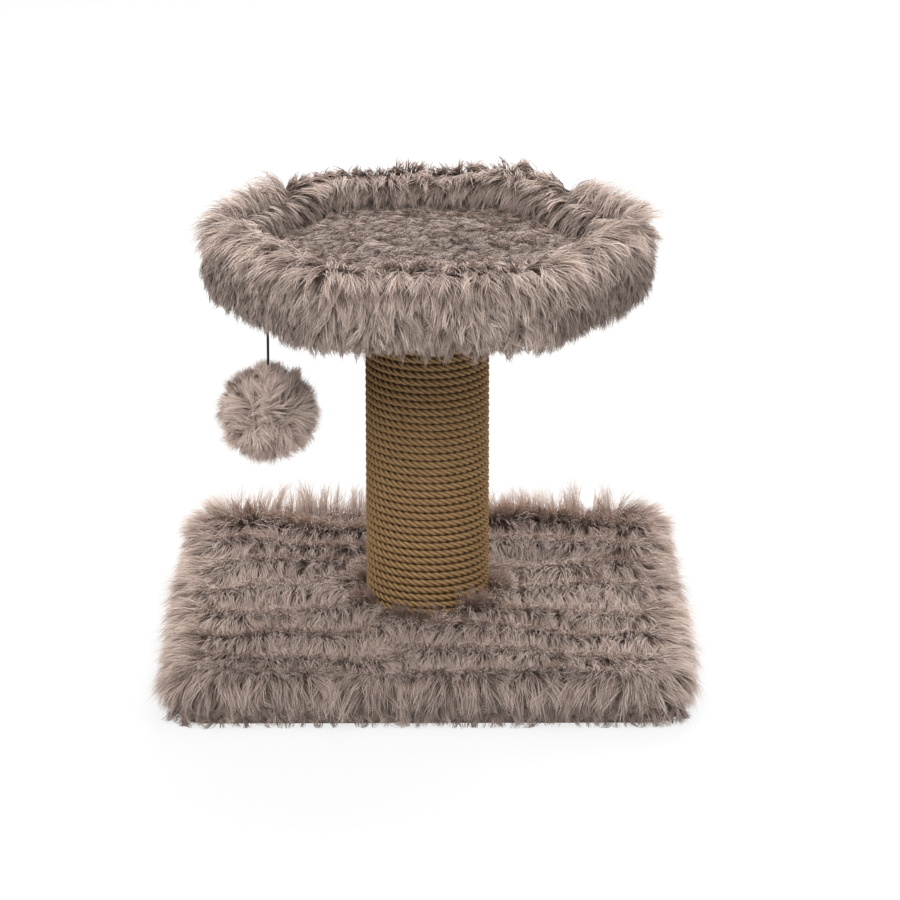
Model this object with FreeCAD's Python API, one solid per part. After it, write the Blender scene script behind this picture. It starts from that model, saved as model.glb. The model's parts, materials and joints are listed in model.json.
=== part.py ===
import FreeCAD, Part
import math
import os

# Cat scratcher: a plush-covered square base, a rope-wound post, a six-sided
# bed with a loose cushion, and a pompom on a cord under the bed.
# Origin: centre of the underside. +Z up, front of the bed towards -Y.
# All sizes are in millimetres.

V = FreeCAD.Vector
UP = V(0, 0, 1)

# Base
base_board_side = 460.0
base_board_thickness = 18.0
base_board_corner = 28.0
base_pile_side = 20.0
base_pile_top = 36.0
base_top_round = 22.0
base_foot_round = 12.0
base_hem_width = 45.0
tier_pitch = 60.5
tier_depth = 10.0
tier_front_margin = 45.0
tier_border = 32.0
tier_border_rise = 6.0
tier_crest_inset = 0.8
tier_steepness = 1.4
tier_sway = 0.22
tier_sway_across = 330.0
tier_sway_along = 410.0
tier_grid = 20
tier_grid_per_tier = 8
base_liner_inset = 12.0
base_staples_per_side = 5
liner_thickness = 1.5
fabric_thickness = 2.0

# Post
post_length = 337.0
tube_diameter = 104.0
tube_wall = 5.0
plug_thickness = 20.0
plug_clearance = 0.2
plush_to_rope_clearance = 0.8

# Rope: two butted lengths, wound as one left-hand layer with its ends at the back
rope_diameter = 6.9
rope_gap = 0.5
rope_to_tube_clearance = 0.3
rope_end_margin = 1.0
rope_butt_clearance = 1.0
rope_start_angle = 90.0

# Bolts, washers and tee nuts
bolt_diameter = 8.0
bolt_head_diameter = 17.0
bolt_head_thickness = 2.2
bolt_socket_width = 5.0
bolt_socket_depth = 4.0
bolt_projection = 4.0
bolt_hole_clearance = 0.5
thread_clearance = 0.1
washer_diameter = 24.0
washer_thickness = 1.6
head_recess = 0.6
recess_clearance = 1.0
tee_nut_flange_diameter = 22.0
tee_nut_flange_thickness = 1.5
tee_nut_barrel_diameter = 10.0
tee_nut_barrel_length = 10.0
tee_nut_prongs = 4
tee_nut_prong_length = 6.0
tee_nut_prong_width = 3.0
tee_nut_prong_thickness = 1.5
tee_nut_clearance = 0.1

# Screws, tacks and staples
screw_diameter = 3.5
screw_head_diameter = 7.0
screw_head_height = 2.2
screw_length = 40.0
screws_per_panel = 2
screw_spacing = 95.0
screw_clearance = 0.1
tack_diameter = 2.0
tack_length = 15.0
tacks_per_plug = 4
staple_crown = 10.0
staple_leg = 9.0
staple_wire = 1.0

# Bed
bed_sides = ("front", "front_right", "back_right", "back", "back_left", "front_left")
floor_inradius = 163.0
floor_thickness = 12.0
panel_thickness = 10.0
panel_height = 43.0
panel_clearance = 0.2
foam_side = 8.0
foam_crown = 10.0
cover_clearance = 0.3
seam_gap = 0.4
rim_pile_side = 13.7
rim_pile_top = 10.0
skirt_drop = 15.0
skirt_edge_inset = 2.0
skirt_edge_rise = 4.5
rim_tuck = 2.7
crest_shoulder_drop = 6.0
crest_outer_inset = 11.6
crest_inner_inset = 10.3
bed_hem_width = 14.0
bed_liner_gap = 0.5
well_lining_lift = 2.0
bed_staples_per_side = 3

# Cushion
cushion_to_rim_clearance = 1.2
cushion_to_floor_clearance = 0.3
cushion_thickness = 30.0
cushion_seam_height = 12.0
cushion_crown_inset = 75.0
cushion_foot_inset = 24.0
cushion_corner = 26.0
cushion_corner_bulge = 6.5
cushion_draw_in = 5.0
cushion_pile = 7.0
cushion_cloth = 1.5
cushion_filling_clearance = 0.3

# Toy: hangs from a staple under the front left side of the bed
toy_edge_inset = 10.5
toy_side_offset = -35.5
toy_staple_width = 10.0
toy_staple_wire = 2.0
toy_staple_leg = 8.0
toy_staple_bend = 2.0
toy_staple_drop = 5.0
toy_loop_radius = 4.5
toy_cord_diameter = 2.5
toy_knot_diameter = 6.0
toy_hang = 109.0
toy_clearance = 0.3
pompom_radius = 42.0
pompom_rise = 38.0
pompom_fall = 44.0
pompom_taper_radius = 28.5
pompom_taper_drop = 31.0
pompom_core_radius = 27.0
stop_knot_diameter = 7.0

# Heights that follow from the sizes above
base_board_bottom = liner_thickness + fabric_thickness
base_board_top = base_board_bottom + base_board_thickness
post_bottom = base_board_top + fabric_thickness
post_top = post_bottom + post_length
floor_bottom = post_top + liner_thickness
floor_top = floor_bottom + floor_thickness
panel_top = floor_bottom + panel_height
foam_top = panel_top + foam_crown
rim_top = foam_top + rim_pile_top
head_stack = head_recess + bolt_head_thickness + washer_thickness

# Radii that follow, measured square to the bed's sides
tube_radius = tube_diameter / 2
tube_bore = tube_radius - tube_wall
rope_radius = rope_diameter / 2
rope_line_radius = tube_radius + rope_to_tube_clearance + rope_radius
rope_outer_radius = rope_line_radius + rope_radius
rope_pitch = rope_diameter + rope_gap
panel_inner = floor_inradius + panel_clearance
panel_outer = panel_inner + panel_thickness
foam_inner = panel_inner - foam_side
foam_outer = panel_outer + foam_side
cover_inner = foam_inner - cover_clearance - rim_pile_side
cover_outer = foam_outer + cover_clearance + rim_pile_side
bed_hem_inner = floor_inradius - bed_hem_width

nodes = {}


def keep(name, shape):
    nodes[name] = shape


# Helpers

def cylinder(radius, bottom, height, x=0.0, y=0.0):
    return Part.makeCylinder(radius, height, V(x, y, bottom), UP)


def prism(points, bottom, height):
    corners = [V(x, y, bottom) for x, y in points]
    face = Part.Face(Part.makePolygon(corners + corners[:1]))
    return face.extrude(V(0, 0, height))


def hexagon(inradius):
    """Corners of a hexagon with a flat side towards the front."""
    reach = inradius / math.cos(math.radians(30))
    angles = [math.radians(60 * k) for k in range(6)]
    return [(reach * math.cos(a), reach * math.sin(a)) for a in angles]


def side_angle(side):
    """Direction in which a side of the bed faces, counted from the front."""
    return 60 * bed_sides.index(side) - 90


def turned(shape, angle):
    """A copy of a shape built facing +X, turned to face another way."""
    copy = shape.copy()
    copy.rotate(V(0, 0, 0), UP, angle)
    return copy


def edges_at(shape, height):
    return [e for e in shape.Edges if abs(e.BoundBox.ZMin - height) + abs(e.BoundBox.ZMax - height) < 1e-6]


def rounded_square(side, corner, bottom, height):
    box = Part.makeBox(side, side, height, V(-side / 2, -side / 2, bottom))
    upright = [e for e in box.Edges if e.BoundBox.ZLength > height / 2]
    return box.makeFillet(corner, upright)


def wire_through(steps):
    """Closed wire: each step is an end point, or a middle and an end point of an arc."""
    edges = []
    last = steps[0][-1]
    for step in steps[1:]:
        end = step[-1]
        if len(step) == 1:
            edges.append(Part.LineSegment(last, end).toShape())
        else:
            edges.append(Part.Arc(last, step[0], end).toShape())
        last = end
    return Part.Wire(edges)


def at(radius, height):
    """A point of a profile that is drawn square to a side of the bed."""
    return V(radius, 0, height)


def staple(crown, leg, wire):
    """Flat-wire staple: crown under z = 0 along Y, legs up."""
    half = crown / 2
    back = Part.makeBox(wire, crown, wire, V(-wire / 2, -half, -wire))
    legs = [Part.makeBox(wire, wire, leg, V(-wire / 2, y, 0)) for y in (-half, half - wire)]
    return back.multiFuse(legs).removeSplitter()


def spread(count, length):
    """Evenly spaced places along a length, centred on zero."""
    return [(k + 0.5) * length / count - length / 2 for k in range(count)]


# Base

def base_board():
    board = rounded_square(base_board_side, base_board_corner, base_board_bottom, base_board_thickness)
    hole = cylinder(bolt_diameter / 2 + bolt_hole_clearance, base_board_bottom, base_board_thickness)
    recess = cylinder(washer_diameter / 2 + recess_clearance, base_board_bottom, head_stack)
    return board.cut(hole).cut(recess)


def smooth_step(value, low, high):
    """0 below low, 1 above high, smooth between."""
    share = min(max((value - low) / (high - low), 0.0), 1.0)
    return share * share * (3 - 2 * share)


def tier_height(x, y, half_side):
    """Height of the pile in its tier, 0 in a valley and 1 on a crest, with the steep face to the front."""
    sway = tier_sway * math.sin(2 * math.pi * (x / tier_sway_across + y / tier_sway_along))
    turn = (y + half_side - tier_front_margin) / tier_pitch + sway
    within = 1 - (1 - turn % 1.0) ** tier_steepness
    return 0.5 - 0.5 * math.cos(2 * math.pi * within)


def above_the_tiers(top, side):
    """All that lies over a wavy sheet through the pile, which rises clear of the top near the edges."""
    half = side / 2
    rows = math.ceil(side / tier_pitch) * tier_grid_per_tier
    crest = top - tier_crest_inset
    sheet = []
    for x in spread(tier_grid, side):
        line = []
        for y in spread(rows, side):
            reach = (x ** 6 + y ** 6) ** (1 / 6)
            border = smooth_step(reach, half - 1.5 * tier_border, half - tier_border / 2)
            low = crest - tier_depth * (1 - tier_height(x, y, half))
            line.append(V(x, y, low + (top + tier_border_rise - low) * border))
        sheet.append(line)
    surface = Part.BSplineSurface()
    surface.interpolate(sheet)
    return surface.toShape().extrude(UP * (tier_depth + 2 * tier_border_rise))


def base_plush_cover():
    bottom = liner_thickness
    top = base_board_top + base_pile_top
    side = base_board_side + 2 * base_pile_side
    cover = rounded_square(side, base_board_corner + base_pile_side, bottom, top - bottom)
    cover = cover.makeFillet(base_top_round, edges_at(cover, top))
    cover = cover.makeFillet(base_foot_round, edges_at(cover, bottom))
    board_room = rounded_square(base_board_side, base_board_corner, base_board_bottom, base_board_thickness)
    hem_side = base_board_side - 2 * base_hem_width
    hem_room = rounded_square(hem_side, base_board_corner, bottom, fabric_thickness)
    post_room = cylinder(rope_outer_radius + plush_to_rope_clearance, post_bottom, top)
    bolt_room = cylinder(bolt_diameter / 2 + bolt_hole_clearance, base_board_top, fabric_thickness)
    for room in (above_the_tiers(top, side), board_room, hem_room, post_room, bolt_room):
        cover = cover.cut(room)
    return cover


def base_staples():
    upright = staple(staple_crown, staple_leg, staple_wire)
    upright.translate(V(base_board_side / 2 - base_hem_width / 2, 0, liner_thickness + staple_wire))
    straight = base_board_side - 2 * base_hem_width
    group = []
    for quarter in range(4):
        for place in spread(base_staples_per_side, straight):
            one = upright.copy()
            one.translate(V(0, place, 0))
            group.append(turned(one, 90 * quarter))
    return Part.makeCompound(group)


keep("base_board", base_board())
keep("base_plush_cover", base_plush_cover())
liner_side = base_board_side - 2 * base_liner_inset
keep("base_underliner", rounded_square(liner_side, base_board_corner, 0, liner_thickness))
keep("base_staples", base_staples())


# Bolts, washers and tee nuts, each drawn with the head at z = 0 and the shank up

def furniture_bolt(length):
    head = cylinder(bolt_head_diameter / 2, 0, bolt_head_thickness)
    shank = cylinder(bolt_diameter / 2, bolt_head_thickness, length)
    flat_to_middle = bolt_socket_width / 2
    socket = prism(hexagon(flat_to_middle), 0, bolt_socket_depth)
    return head.fuse(shank).removeSplitter().cut(socket)


def washer():
    ring = cylinder(washer_diameter / 2, 0, washer_thickness)
    return ring.cut(cylinder(bolt_diameter / 2 + bolt_hole_clearance, 0, washer_thickness))


def prongs():
    rim = tee_nut_flange_diameter / 2
    corner = V(rim - tee_nut_prong_thickness, -tee_nut_prong_width / 2, -tee_nut_prong_length)
    prong = Part.makeBox(tee_nut_prong_thickness, tee_nut_prong_width, tee_nut_prong_length, corner)
    prong = prong.common(cylinder(rim, -tee_nut_prong_length, tee_nut_prong_length))
    return [turned(prong, 360 * k / tee_nut_prongs) for k in range(tee_nut_prongs)]


def tee_nut():
    """Flange above z = 0, barrel and prongs below."""
    flange = cylinder(tee_nut_flange_diameter / 2, 0, tee_nut_flange_thickness)
    barrel = cylinder(tee_nut_barrel_diameter / 2, -tee_nut_barrel_length, tee_nut_barrel_length)
    nut = flange.multiFuse([barrel] + prongs()).removeSplitter()
    thread = cylinder(
        bolt_diameter / 2 + thread_clearance,
        -tee_nut_barrel_length,
        tee_nut_barrel_length + tee_nut_flange_thickness,
    )
    return nut.cut(thread)


def plug():
    """Wooden plug with its tee nut face at z = 0 and the other face below."""
    body = cylinder(tube_bore - plug_clearance, -plug_thickness, plug_thickness)
    hole = cylinder(bolt_diameter / 2 + bolt_hole_clearance, -plug_thickness, plug_thickness)
    barrel_room = cylinder(
        tee_nut_barrel_diameter / 2 + tee_nut_clearance, -tee_nut_barrel_length, tee_nut_barrel_length
    )
    body = body.cut(hole).cut(barrel_room)
    for prong in prongs():
        body = body.cut(prong)
    return body


def upright_at(shape, height):
    copy = shape.copy()
    copy.translate(V(0, 0, height))
    return copy


def inverted_at(shape, height):
    copy = shape.copy()
    copy.rotate(V(0, 0, 0), V(1, 0, 0), 180)
    copy.translate(V(0, 0, height))
    return copy


grip = washer_thickness + plug_thickness + tee_nut_flange_thickness + bolt_projection
base_shank = base_board_thickness - head_stack + fabric_thickness + grip
bed_shank = floor_thickness - head_stack + liner_thickness + grip

keep("base_bolt", upright_at(furniture_bolt(base_shank), base_board_bottom + head_recess))
keep("base_washer", upright_at(washer(), base_board_bottom + head_recess + bolt_head_thickness))
keep("bed_bolt", inverted_at(furniture_bolt(bed_shank), floor_top - head_recess))
keep("bed_washer", inverted_at(washer(), floor_top - head_recess - bolt_head_thickness))
keep("post_lower_plug", upright_at(plug(), post_bottom + plug_thickness))
keep("post_upper_plug", inverted_at(plug(), post_top - plug_thickness))
keep("lower_tee_nut", upright_at(tee_nut(), post_bottom + plug_thickness))
keep("upper_tee_nut", inverted_at(tee_nut(), post_top - plug_thickness))


# Post tube and the tacks that hold its plugs

def tube_tacks():
    tack = Part.makeCylinder(tack_diameter / 2, tack_length, V(tube_radius, 0, 0), V(-1, 0, 0))
    group = []
    for height in (post_bottom + plug_thickness / 2, post_top - plug_thickness / 2):
        for k in range(tacks_per_plug):
            group.append(turned(upright_at(tack, height), 360 * (k + 0.5) / tacks_per_plug))
    return Part.makeCompound(group)


def post_tube():
    return cylinder(tube_radius, post_bottom, post_length).cut(cylinder(tube_bore, post_bottom, post_length))


keep("post_tube", post_tube())
keep("tube_tacks", tube_tacks())


# Rope: each half turn is a pair of arcs that share a tangent where they join

rope_end_turn = 2 * math.atan((rope_diameter + rope_butt_clearance) / rope_line_radius) / (2 * math.pi)
rope_room = post_length - 2 * rope_end_margin - rope_diameter
rope_turns = int((rope_room / rope_pitch - rope_end_turn) / 2)
wound_height = (2 * rope_turns + rope_end_turn) * rope_pitch
rope_first_height = (post_bottom + post_top - wound_height) / 2


def rope_point(turn):
    angle = math.radians(rope_start_angle) - 2 * math.pi * turn
    height = rope_first_height + rope_pitch * turn
    return V(rope_line_radius * math.cos(angle), rope_line_radius * math.sin(angle), height)


def rope_direction(turn):
    angle = math.radians(rope_start_angle) - 2 * math.pi * turn
    around = 2 * math.pi * rope_line_radius
    return V(around * math.sin(angle), -around * math.cos(angle), rope_pitch).normalize()


def arc_along(start, end, direction):
    """The arc from start to end that leaves start along direction."""
    chord = end - start
    along = V(chord).normalize()
    across = direction - along * direction.dot(along)
    half_sweep = direction.getAngle(along)
    middle = (start + end) * 0.5 + across.normalize() * (chord.Length / 2 * math.tan(half_sweep / 2))
    return Part.Arc(start, middle, end).toShape()


def biarc(turn, next_turn):
    start, end = rope_point(turn), rope_point(next_turn)
    out, home = rope_direction(turn), rope_direction(next_turn)
    chord = end - start
    lean = chord.dot(out + home)
    spread_of_tangents = 2 * (1 - out.dot(home))
    reach = (math.sqrt(lean * lean + spread_of_tangents * chord.dot(chord)) - lean) / spread_of_tangents
    joint = (start + end) * 0.5 + (out - home) * (reach / 2)
    first = arc_along(start, joint, out)
    second = arc_along(end, joint, home * -1)
    return [first, second]


def rope_length(first_turn):
    last_turn = first_turn + rope_turns
    start, end = rope_point(first_turn), rope_point(last_turn)
    lead_in = start - rope_direction(first_turn) * rope_diameter
    lead_out = end + rope_direction(last_turn) * rope_diameter
    edges = [Part.LineSegment(lead_in, start).toShape()]
    for half in range(2 * rope_turns):
        edges += biarc(first_turn + half / 2, first_turn + (half + 1) / 2)
    edges.append(Part.LineSegment(end, lead_out).toShape())
    path = Part.Wire(Part.__sortEdges__(edges))
    section = Part.Wire(Part.makeCircle(rope_radius, lead_in, rope_direction(first_turn)))
    tube = path.makePipeShell([section], True, False)
    report_rope(edges[1:-1], path, tube)
    return tube


def report_rope(arcs, path, tube):
    """Prints the least gap between turns and the volume against section times length."""
    steps = 8
    points = []
    for arc in arcs:
        low, high = arc.ParameterRange
        points += [arc.valueAt(low + (high - low) * k / steps) for k in range(steps)]
    turn = 4 * steps
    near = min(
        points[i].distanceToPoint(points[j])
        for i in range(len(points))
        for j in range(i + turn // 2, min(i + 2 * turn, len(points)))
    )
    expected = math.pi * rope_radius ** 2 * path.Length
    print(f"rope: {rope_turns} turns, least gap {near - rope_diameter:.3f} mm, "
          f"length {path.Length:.0f} mm, volume ratio {tube.Volume / expected:.5f}")


def rope_staples():
    """Four staples, each across a rope end, driven flush through the rope into the tube."""
    second = rope_turns + rope_end_turn
    ends = (0, rope_turns, second, second + rope_turns)
    leg = rope_diameter - staple_wire + rope_to_tube_clearance + tube_wall / 2
    flat = staple(rope_radius, leg, staple_wire)
    flat.rotate(V(0, 0, 0), V(0, 1, 0), -90)
    flat.rotate(V(0, 0, 0), V(1, 0, 0), 90)
    group = []
    for turn in ends:
        one = flat.copy()
        height = rope_first_height + rope_pitch * turn
        one.translate(V(rope_outer_radius - staple_wire, 0, height))
        group.append(turned(one, rope_start_angle - 360 * turn))
    return Part.makeCompound(group)


keep("post_rope_lower", rope_length(0))
keep("post_rope_upper", rope_length(rope_turns + rope_end_turn))
keep("rope_staples", rope_staples())


# Bed floor, rim panels and their screws

def rim_screw():
    """Countersunk screw through the panel on the +X side, into the floor board's edge."""
    head = Part.makeCone(screw_head_diameter / 2, screw_diameter / 2, screw_head_height, V(0, 0, 0), UP)
    shank = cylinder(screw_diameter / 2, screw_head_height, screw_length - screw_head_height)
    screw = head.fuse(shank).removeSplitter()
    screw.rotate(V(0, 0, 0), V(0, 1, 0), -90)
    screw.translate(V(panel_outer, 0, floor_bottom + floor_thickness / 2))
    return screw


def screw_room():
    """The hole that a rim screw needs, with its countersink."""
    clear = screw_clearance
    head = Part.makeCone(
        screw_head_diameter / 2 + clear, screw_diameter / 2 + clear, screw_head_height, V(0, 0, 0), UP
    )
    shank = cylinder(screw_diameter / 2 + clear, 0, screw_length + clear)
    room = head.fuse(shank).removeSplitter()
    room.rotate(V(0, 0, 0), V(0, 1, 0), -90)
    room.translate(V(panel_outer, 0, floor_bottom + floor_thickness / 2))
    return room


def along_side(shape):
    """Copies of a piece at each screw's place on the +X side."""
    first = -screw_spacing * (screws_per_panel - 1) / 2
    copies = []
    for k in range(screws_per_panel):
        one = shape.copy()
        one.translate(V(0, first + screw_spacing * k, 0))
        copies.append(one)
    return copies


def bed_floor_board():
    board = prism(hexagon(floor_inradius), floor_bottom, floor_thickness)
    board = board.cut(cylinder(bolt_diameter / 2 + bolt_hole_clearance, floor_bottom, floor_thickness))
    recess = cylinder(washer_diameter / 2 + recess_clearance, floor_top - head_stack, head_stack)
    board = board.cut(recess)
    for side in bed_sides:
        for room in along_side(screw_room()):
            board = board.cut(turned(room, side_angle(side)))
    return board


def wedge(bottom, top):
    """The sixth of the bed that belongs to the +X side, less half a seam each way."""
    tip = seam_gap / 2 / math.sin(math.radians(30))
    reach = cover_outer * 2
    half = (reach - tip) * math.tan(math.radians(30))
    return prism([(tip, 0), (reach, -half), (reach, half)], bottom, top - bottom)


def rim_panel():
    half = panel_outer * math.tan(math.radians(30))
    panel = Part.makeBox(panel_thickness, 2 * half, panel_height, V(panel_inner, -half, floor_bottom))
    panel = panel.common(wedge(floor_bottom, panel_top))
    for room in along_side(screw_room()):
        panel = panel.cut(room)
    return panel


def extruded_side(profile):
    """A profile drawn square to the +X side, run along that side and mitred at its ends."""
    half = cover_outer * math.tan(math.radians(30))
    face = Part.Face(profile)
    face.translate(V(0, -half, 0))
    bar = face.extrude(V(0, 2 * half, 0))
    return bar.common(wedge(floor_bottom - skirt_drop - 1, rim_top + 1))


def rim_foam():
    """Foam strip folded over a panel."""
    middle = (foam_inner + foam_outer) / 2
    inner_end = floor_top + cover_clearance
    return extruded_side(wire_through([
        [at(foam_inner, inner_end)],
        [at(foam_inner, panel_top)],
        [at(middle, foam_top), at(foam_outer, panel_top)],
        [at(foam_outer, floor_bottom)],
        [at(panel_outer, floor_bottom)],
        [at(panel_outer, panel_top)],
        [at(panel_inner, panel_top)],
        [at(panel_inner, inner_end)],
        [at(foam_inner, inner_end)],
    ]))


def rim_cover():
    """One plush side: hem under the floor, hanging skirt, swelling outside, crown and well lining."""
    room_inner = foam_inner - cover_clearance
    room_outer = foam_outer + cover_clearance
    room_top = foam_top + cover_clearance
    middle = (foam_inner + foam_outer) / 2
    hem_bottom = floor_bottom - fabric_thickness
    skirt_bottom = floor_bottom - skirt_drop
    skirt_middle = (room_outer + cover_outer) / 2
    lining_bottom = floor_top + well_lining_lift
    waist = (skirt_bottom + panel_top) / 2
    shoulder = rim_top - crest_shoulder_drop
    return extruded_side(wire_through([
        [at(bed_hem_inner, hem_bottom)],
        [at(room_outer, hem_bottom)],
        [at(room_outer + skirt_edge_inset, skirt_bottom + skirt_edge_rise)],
        [at(skirt_middle, skirt_bottom), at(cover_outer - skirt_edge_inset, skirt_bottom + skirt_edge_rise)],
        [at(cover_outer, waist), at(cover_outer - rim_tuck, panel_top)],
        [at(cover_outer - crest_outer_inset, shoulder), at(middle, rim_top)],
        [at(cover_inner + crest_inner_inset, shoulder), at(cover_inner, panel_top)],
        [at(cover_inner, lining_bottom)],
        [at(room_inner, lining_bottom)],
        [at(room_inner, panel_top)],
        [at(middle, room_top), at(room_outer, panel_top)],
        [at(room_outer, floor_bottom)],
        [at(bed_hem_inner, floor_bottom)],
        [at(bed_hem_inner, hem_bottom)],
    ]))


def bed_underliner():
    sheet = prism(hexagon(bed_hem_inner - bed_liner_gap), post_top, liner_thickness)
    return sheet.cut(cylinder(bolt_diameter / 2 + bolt_hole_clearance, post_top, liner_thickness))


def bed_staples():
    upright = staple(staple_crown, staple_leg, staple_wire)
    upright.translate(V(bed_hem_inner + bed_hem_width / 2, 0, floor_bottom - fabric_thickness))
    side_length = 2 * bed_hem_inner * math.tan(math.radians(30))
    group = []
    for side in bed_sides:
        for place in spread(bed_staples_per_side, side_length):
            one = upright.copy()
            one.translate(V(0, place, 0))
            group.append(turned(one, side_angle(side)))
    return Part.makeCompound(group)


keep("bed_floor_board", bed_floor_board())
keep("bed_underliner", bed_underliner())
keep("bed_staples", bed_staples())
panel, foam, cover = rim_panel(), rim_foam(), rim_cover()
for side in bed_sides:
    keep(f"rim_panel_{side}", turned(panel, side_angle(side)))
    keep(f"rim_cover_{side}", turned(cover, side_angle(side)))
keep("rim_foam", Part.makeCompound([turned(foam, side_angle(side)) for side in bed_sides]))
screws = [turned(one, side_angle(side)) for side in bed_sides for one in along_side(rim_screw())]
keep("rim_screws", Part.makeCompound(screws))


# Cushion: crowned, with its sides drawn in between rounded corners

def cushion_section(inradius, height):
    corners = [V(x, y, height) for x, y in hexagon(inradius)]
    centre = V(0, 0, height)
    steps = []
    for k, corner in enumerate(corners):
        toward_last = (corners[k - 1] - corner).normalize()
        toward_next = (corners[(k + 1) % 6] - corner).normalize()
        arrive = corner + toward_last * cushion_corner
        leave = corner + toward_next * cushion_corner
        round_middle = (arrive + leave) * 0.5 + (corner - centre).normalize() * cushion_corner_bulge
        steps.append((arrive, round_middle, leave))
    edges = []
    for k, (arrive, round_middle, leave) in enumerate(steps):
        next_arrive = steps[(k + 1) % 6][0]
        side_middle = (leave + next_arrive) * 0.5
        drawn = side_middle + (centre - side_middle).normalize() * cushion_draw_in
        edges.append(Part.Arc(arrive, round_middle, leave).toShape())
        edges.append(Part.Arc(leave, drawn, next_arrive).toShape())
    return Part.Wire(edges)


cushion_inradius = cover_inner - cushion_to_rim_clearance
cushion_bottom = floor_top + cushion_to_floor_clearance
cushion_seam = cushion_bottom + cushion_seam_height
cushion_rise = cushion_thickness - cushion_seam_height
swell_angles = (0, 30, 60, 90)


def swell(rise, inset, wall):
    """Sections from the seam along a quarter of an ellipse, up to a crown or down to a foot."""
    sections = []
    for angle in map(math.radians, swell_angles):
        inradius = cushion_inradius - wall - inset * (1 - math.cos(angle))
        sections.append(cushion_section(inradius, cushion_seam + rise * math.sin(angle)))
    return sections


def cushion_inside(pile, cloth):
    """The space inside the cushion, under a pile above and a cloth below."""
    crown = swell(cushion_rise - pile, cushion_crown_inset, cloth)
    foot = swell(cloth - cushion_seam_height, cushion_foot_inset, cloth)
    return Part.makeLoft(foot[:0:-1] + crown, True, True)


upper = Part.makeLoft(swell(cushion_rise, cushion_crown_inset, 0), True, False)
lower = Part.makeLoft(swell(-cushion_seam_height, cushion_foot_inset, 0)[::-1], True, False)
filling_room = cushion_inside(cushion_pile, cushion_cloth)
slack = cushion_filling_clearance
filling = cushion_inside(cushion_pile + slack, cushion_cloth + slack)
keep("cushion_top_cover", upper.cut(filling_room))
keep("cushion_bottom_cover", lower.cut(filling_room))
keep("cushion_filling", filling)


# Toy

toy_direction = math.radians(side_angle("front_left"))
toy_out = floor_inradius - toy_edge_inset
toy_x = toy_out * math.cos(toy_direction) - toy_side_offset * math.sin(toy_direction)
toy_y = toy_out * math.sin(toy_direction) + toy_side_offset * math.cos(toy_direction)
toy_wire_radius = toy_staple_wire / 2
cord_radius = toy_cord_diameter / 2
crown_height = floor_bottom - fabric_thickness - toy_staple_drop
loop_height = crown_height + toy_wire_radius + toy_clearance + cord_radius - toy_loop_radius
loop_foot = loop_height - toy_loop_radius
knot_half_height = math.sqrt((toy_knot_diameter / 2) ** 2 - cord_radius ** 2)
knot_height = loop_foot - cord_radius - toy_clearance - knot_half_height
cord_top = knot_height - knot_half_height
pompom_height = crown_height - toy_hang
cord_bottom = pompom_height + pompom_core_radius


def toy_point(y, height):
    return V(toy_x, toy_y + y, height)


def toy_staple():
    """Round-wire staple: its crown runs along Y, its legs go up into the floor board."""
    half = toy_staple_width / 2
    bend = toy_staple_bend
    nip = bend * (1 - math.cos(math.radians(45)))
    tip = floor_bottom + toy_staple_leg
    corner_out, corner_up = half - nip, crown_height + nip
    path = Part.Wire([
        Part.LineSegment(toy_point(-half, tip), toy_point(-half, crown_height + bend)).toShape(),
        Part.Arc(
            toy_point(-half, crown_height + bend),
            toy_point(-corner_out, corner_up),
            toy_point(bend - half, crown_height),
        ).toShape(),
        Part.LineSegment(
            toy_point(bend - half, crown_height), toy_point(half - bend, crown_height)
        ).toShape(),
        Part.Arc(
            toy_point(half - bend, crown_height),
            toy_point(corner_out, corner_up),
            toy_point(half, crown_height + bend),
        ).toShape(),
        Part.LineSegment(toy_point(half, crown_height + bend), toy_point(half, tip)).toShape(),
    ])
    section = Part.Wire(Part.makeCircle(toy_wire_radius, toy_point(-half, tip), V(0, 0, -1)))
    return path.makePipeShell([section], True, False)


def turned_solid(steps):
    """Solid of revolution about the cord, from a half profile that starts and ends on it."""
    face = Part.Face(wire_through(steps))
    return face.revolve(V(0, 0, 0), UP, 360)


def pompom_body():
    """Round above, drawn to a blunt point below."""
    shoulder = math.sin(math.radians(45))
    body = turned_solid([
        [at(0, -pompom_fall)],
        [at(pompom_taper_radius, -pompom_taper_drop), at(pompom_radius, 0)],
        [at(shoulder * pompom_radius, shoulder * pompom_rise), at(0, pompom_rise)],
        [at(0, -pompom_fall)],
    ])
    core = Part.makeSphere(pompom_core_radius + toy_clearance)
    cord_room = cylinder(cord_radius + toy_clearance, 0, pompom_rise)
    body = body.cut(core).cut(cord_room)
    body.translate(toy_point(0, pompom_height))
    return body


def pompom_filling():
    core = Part.makeSphere(pompom_core_radius)
    knot_room = Part.makeSphere(stop_knot_diameter / 2 + toy_clearance)
    cord_room = cylinder(cord_radius + toy_clearance, 0, pompom_core_radius)
    core = core.cut(knot_room).cut(cord_room)
    core.translate(toy_point(0, pompom_height))
    return core


def stop_knot():
    """Knot in the middle of the pompom, with the cord's end that runs into it."""
    knot = Part.makeSphere(stop_knot_diameter / 2)
    tail = cylinder(cord_radius, 0, pompom_core_radius)
    knot = knot.fuse(tail).removeSplitter()
    knot.translate(toy_point(0, pompom_height))
    return knot


def upper_knot():
    """Wrapped knot between the loop and the hanging cord, flat where it meets the cord."""
    ball = Part.makeSphere(toy_knot_diameter / 2)
    knot = ball.common(cylinder(toy_knot_diameter, -knot_half_height, 2 * knot_half_height))
    knot.translate(toy_point(0, knot_height))
    return knot


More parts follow.
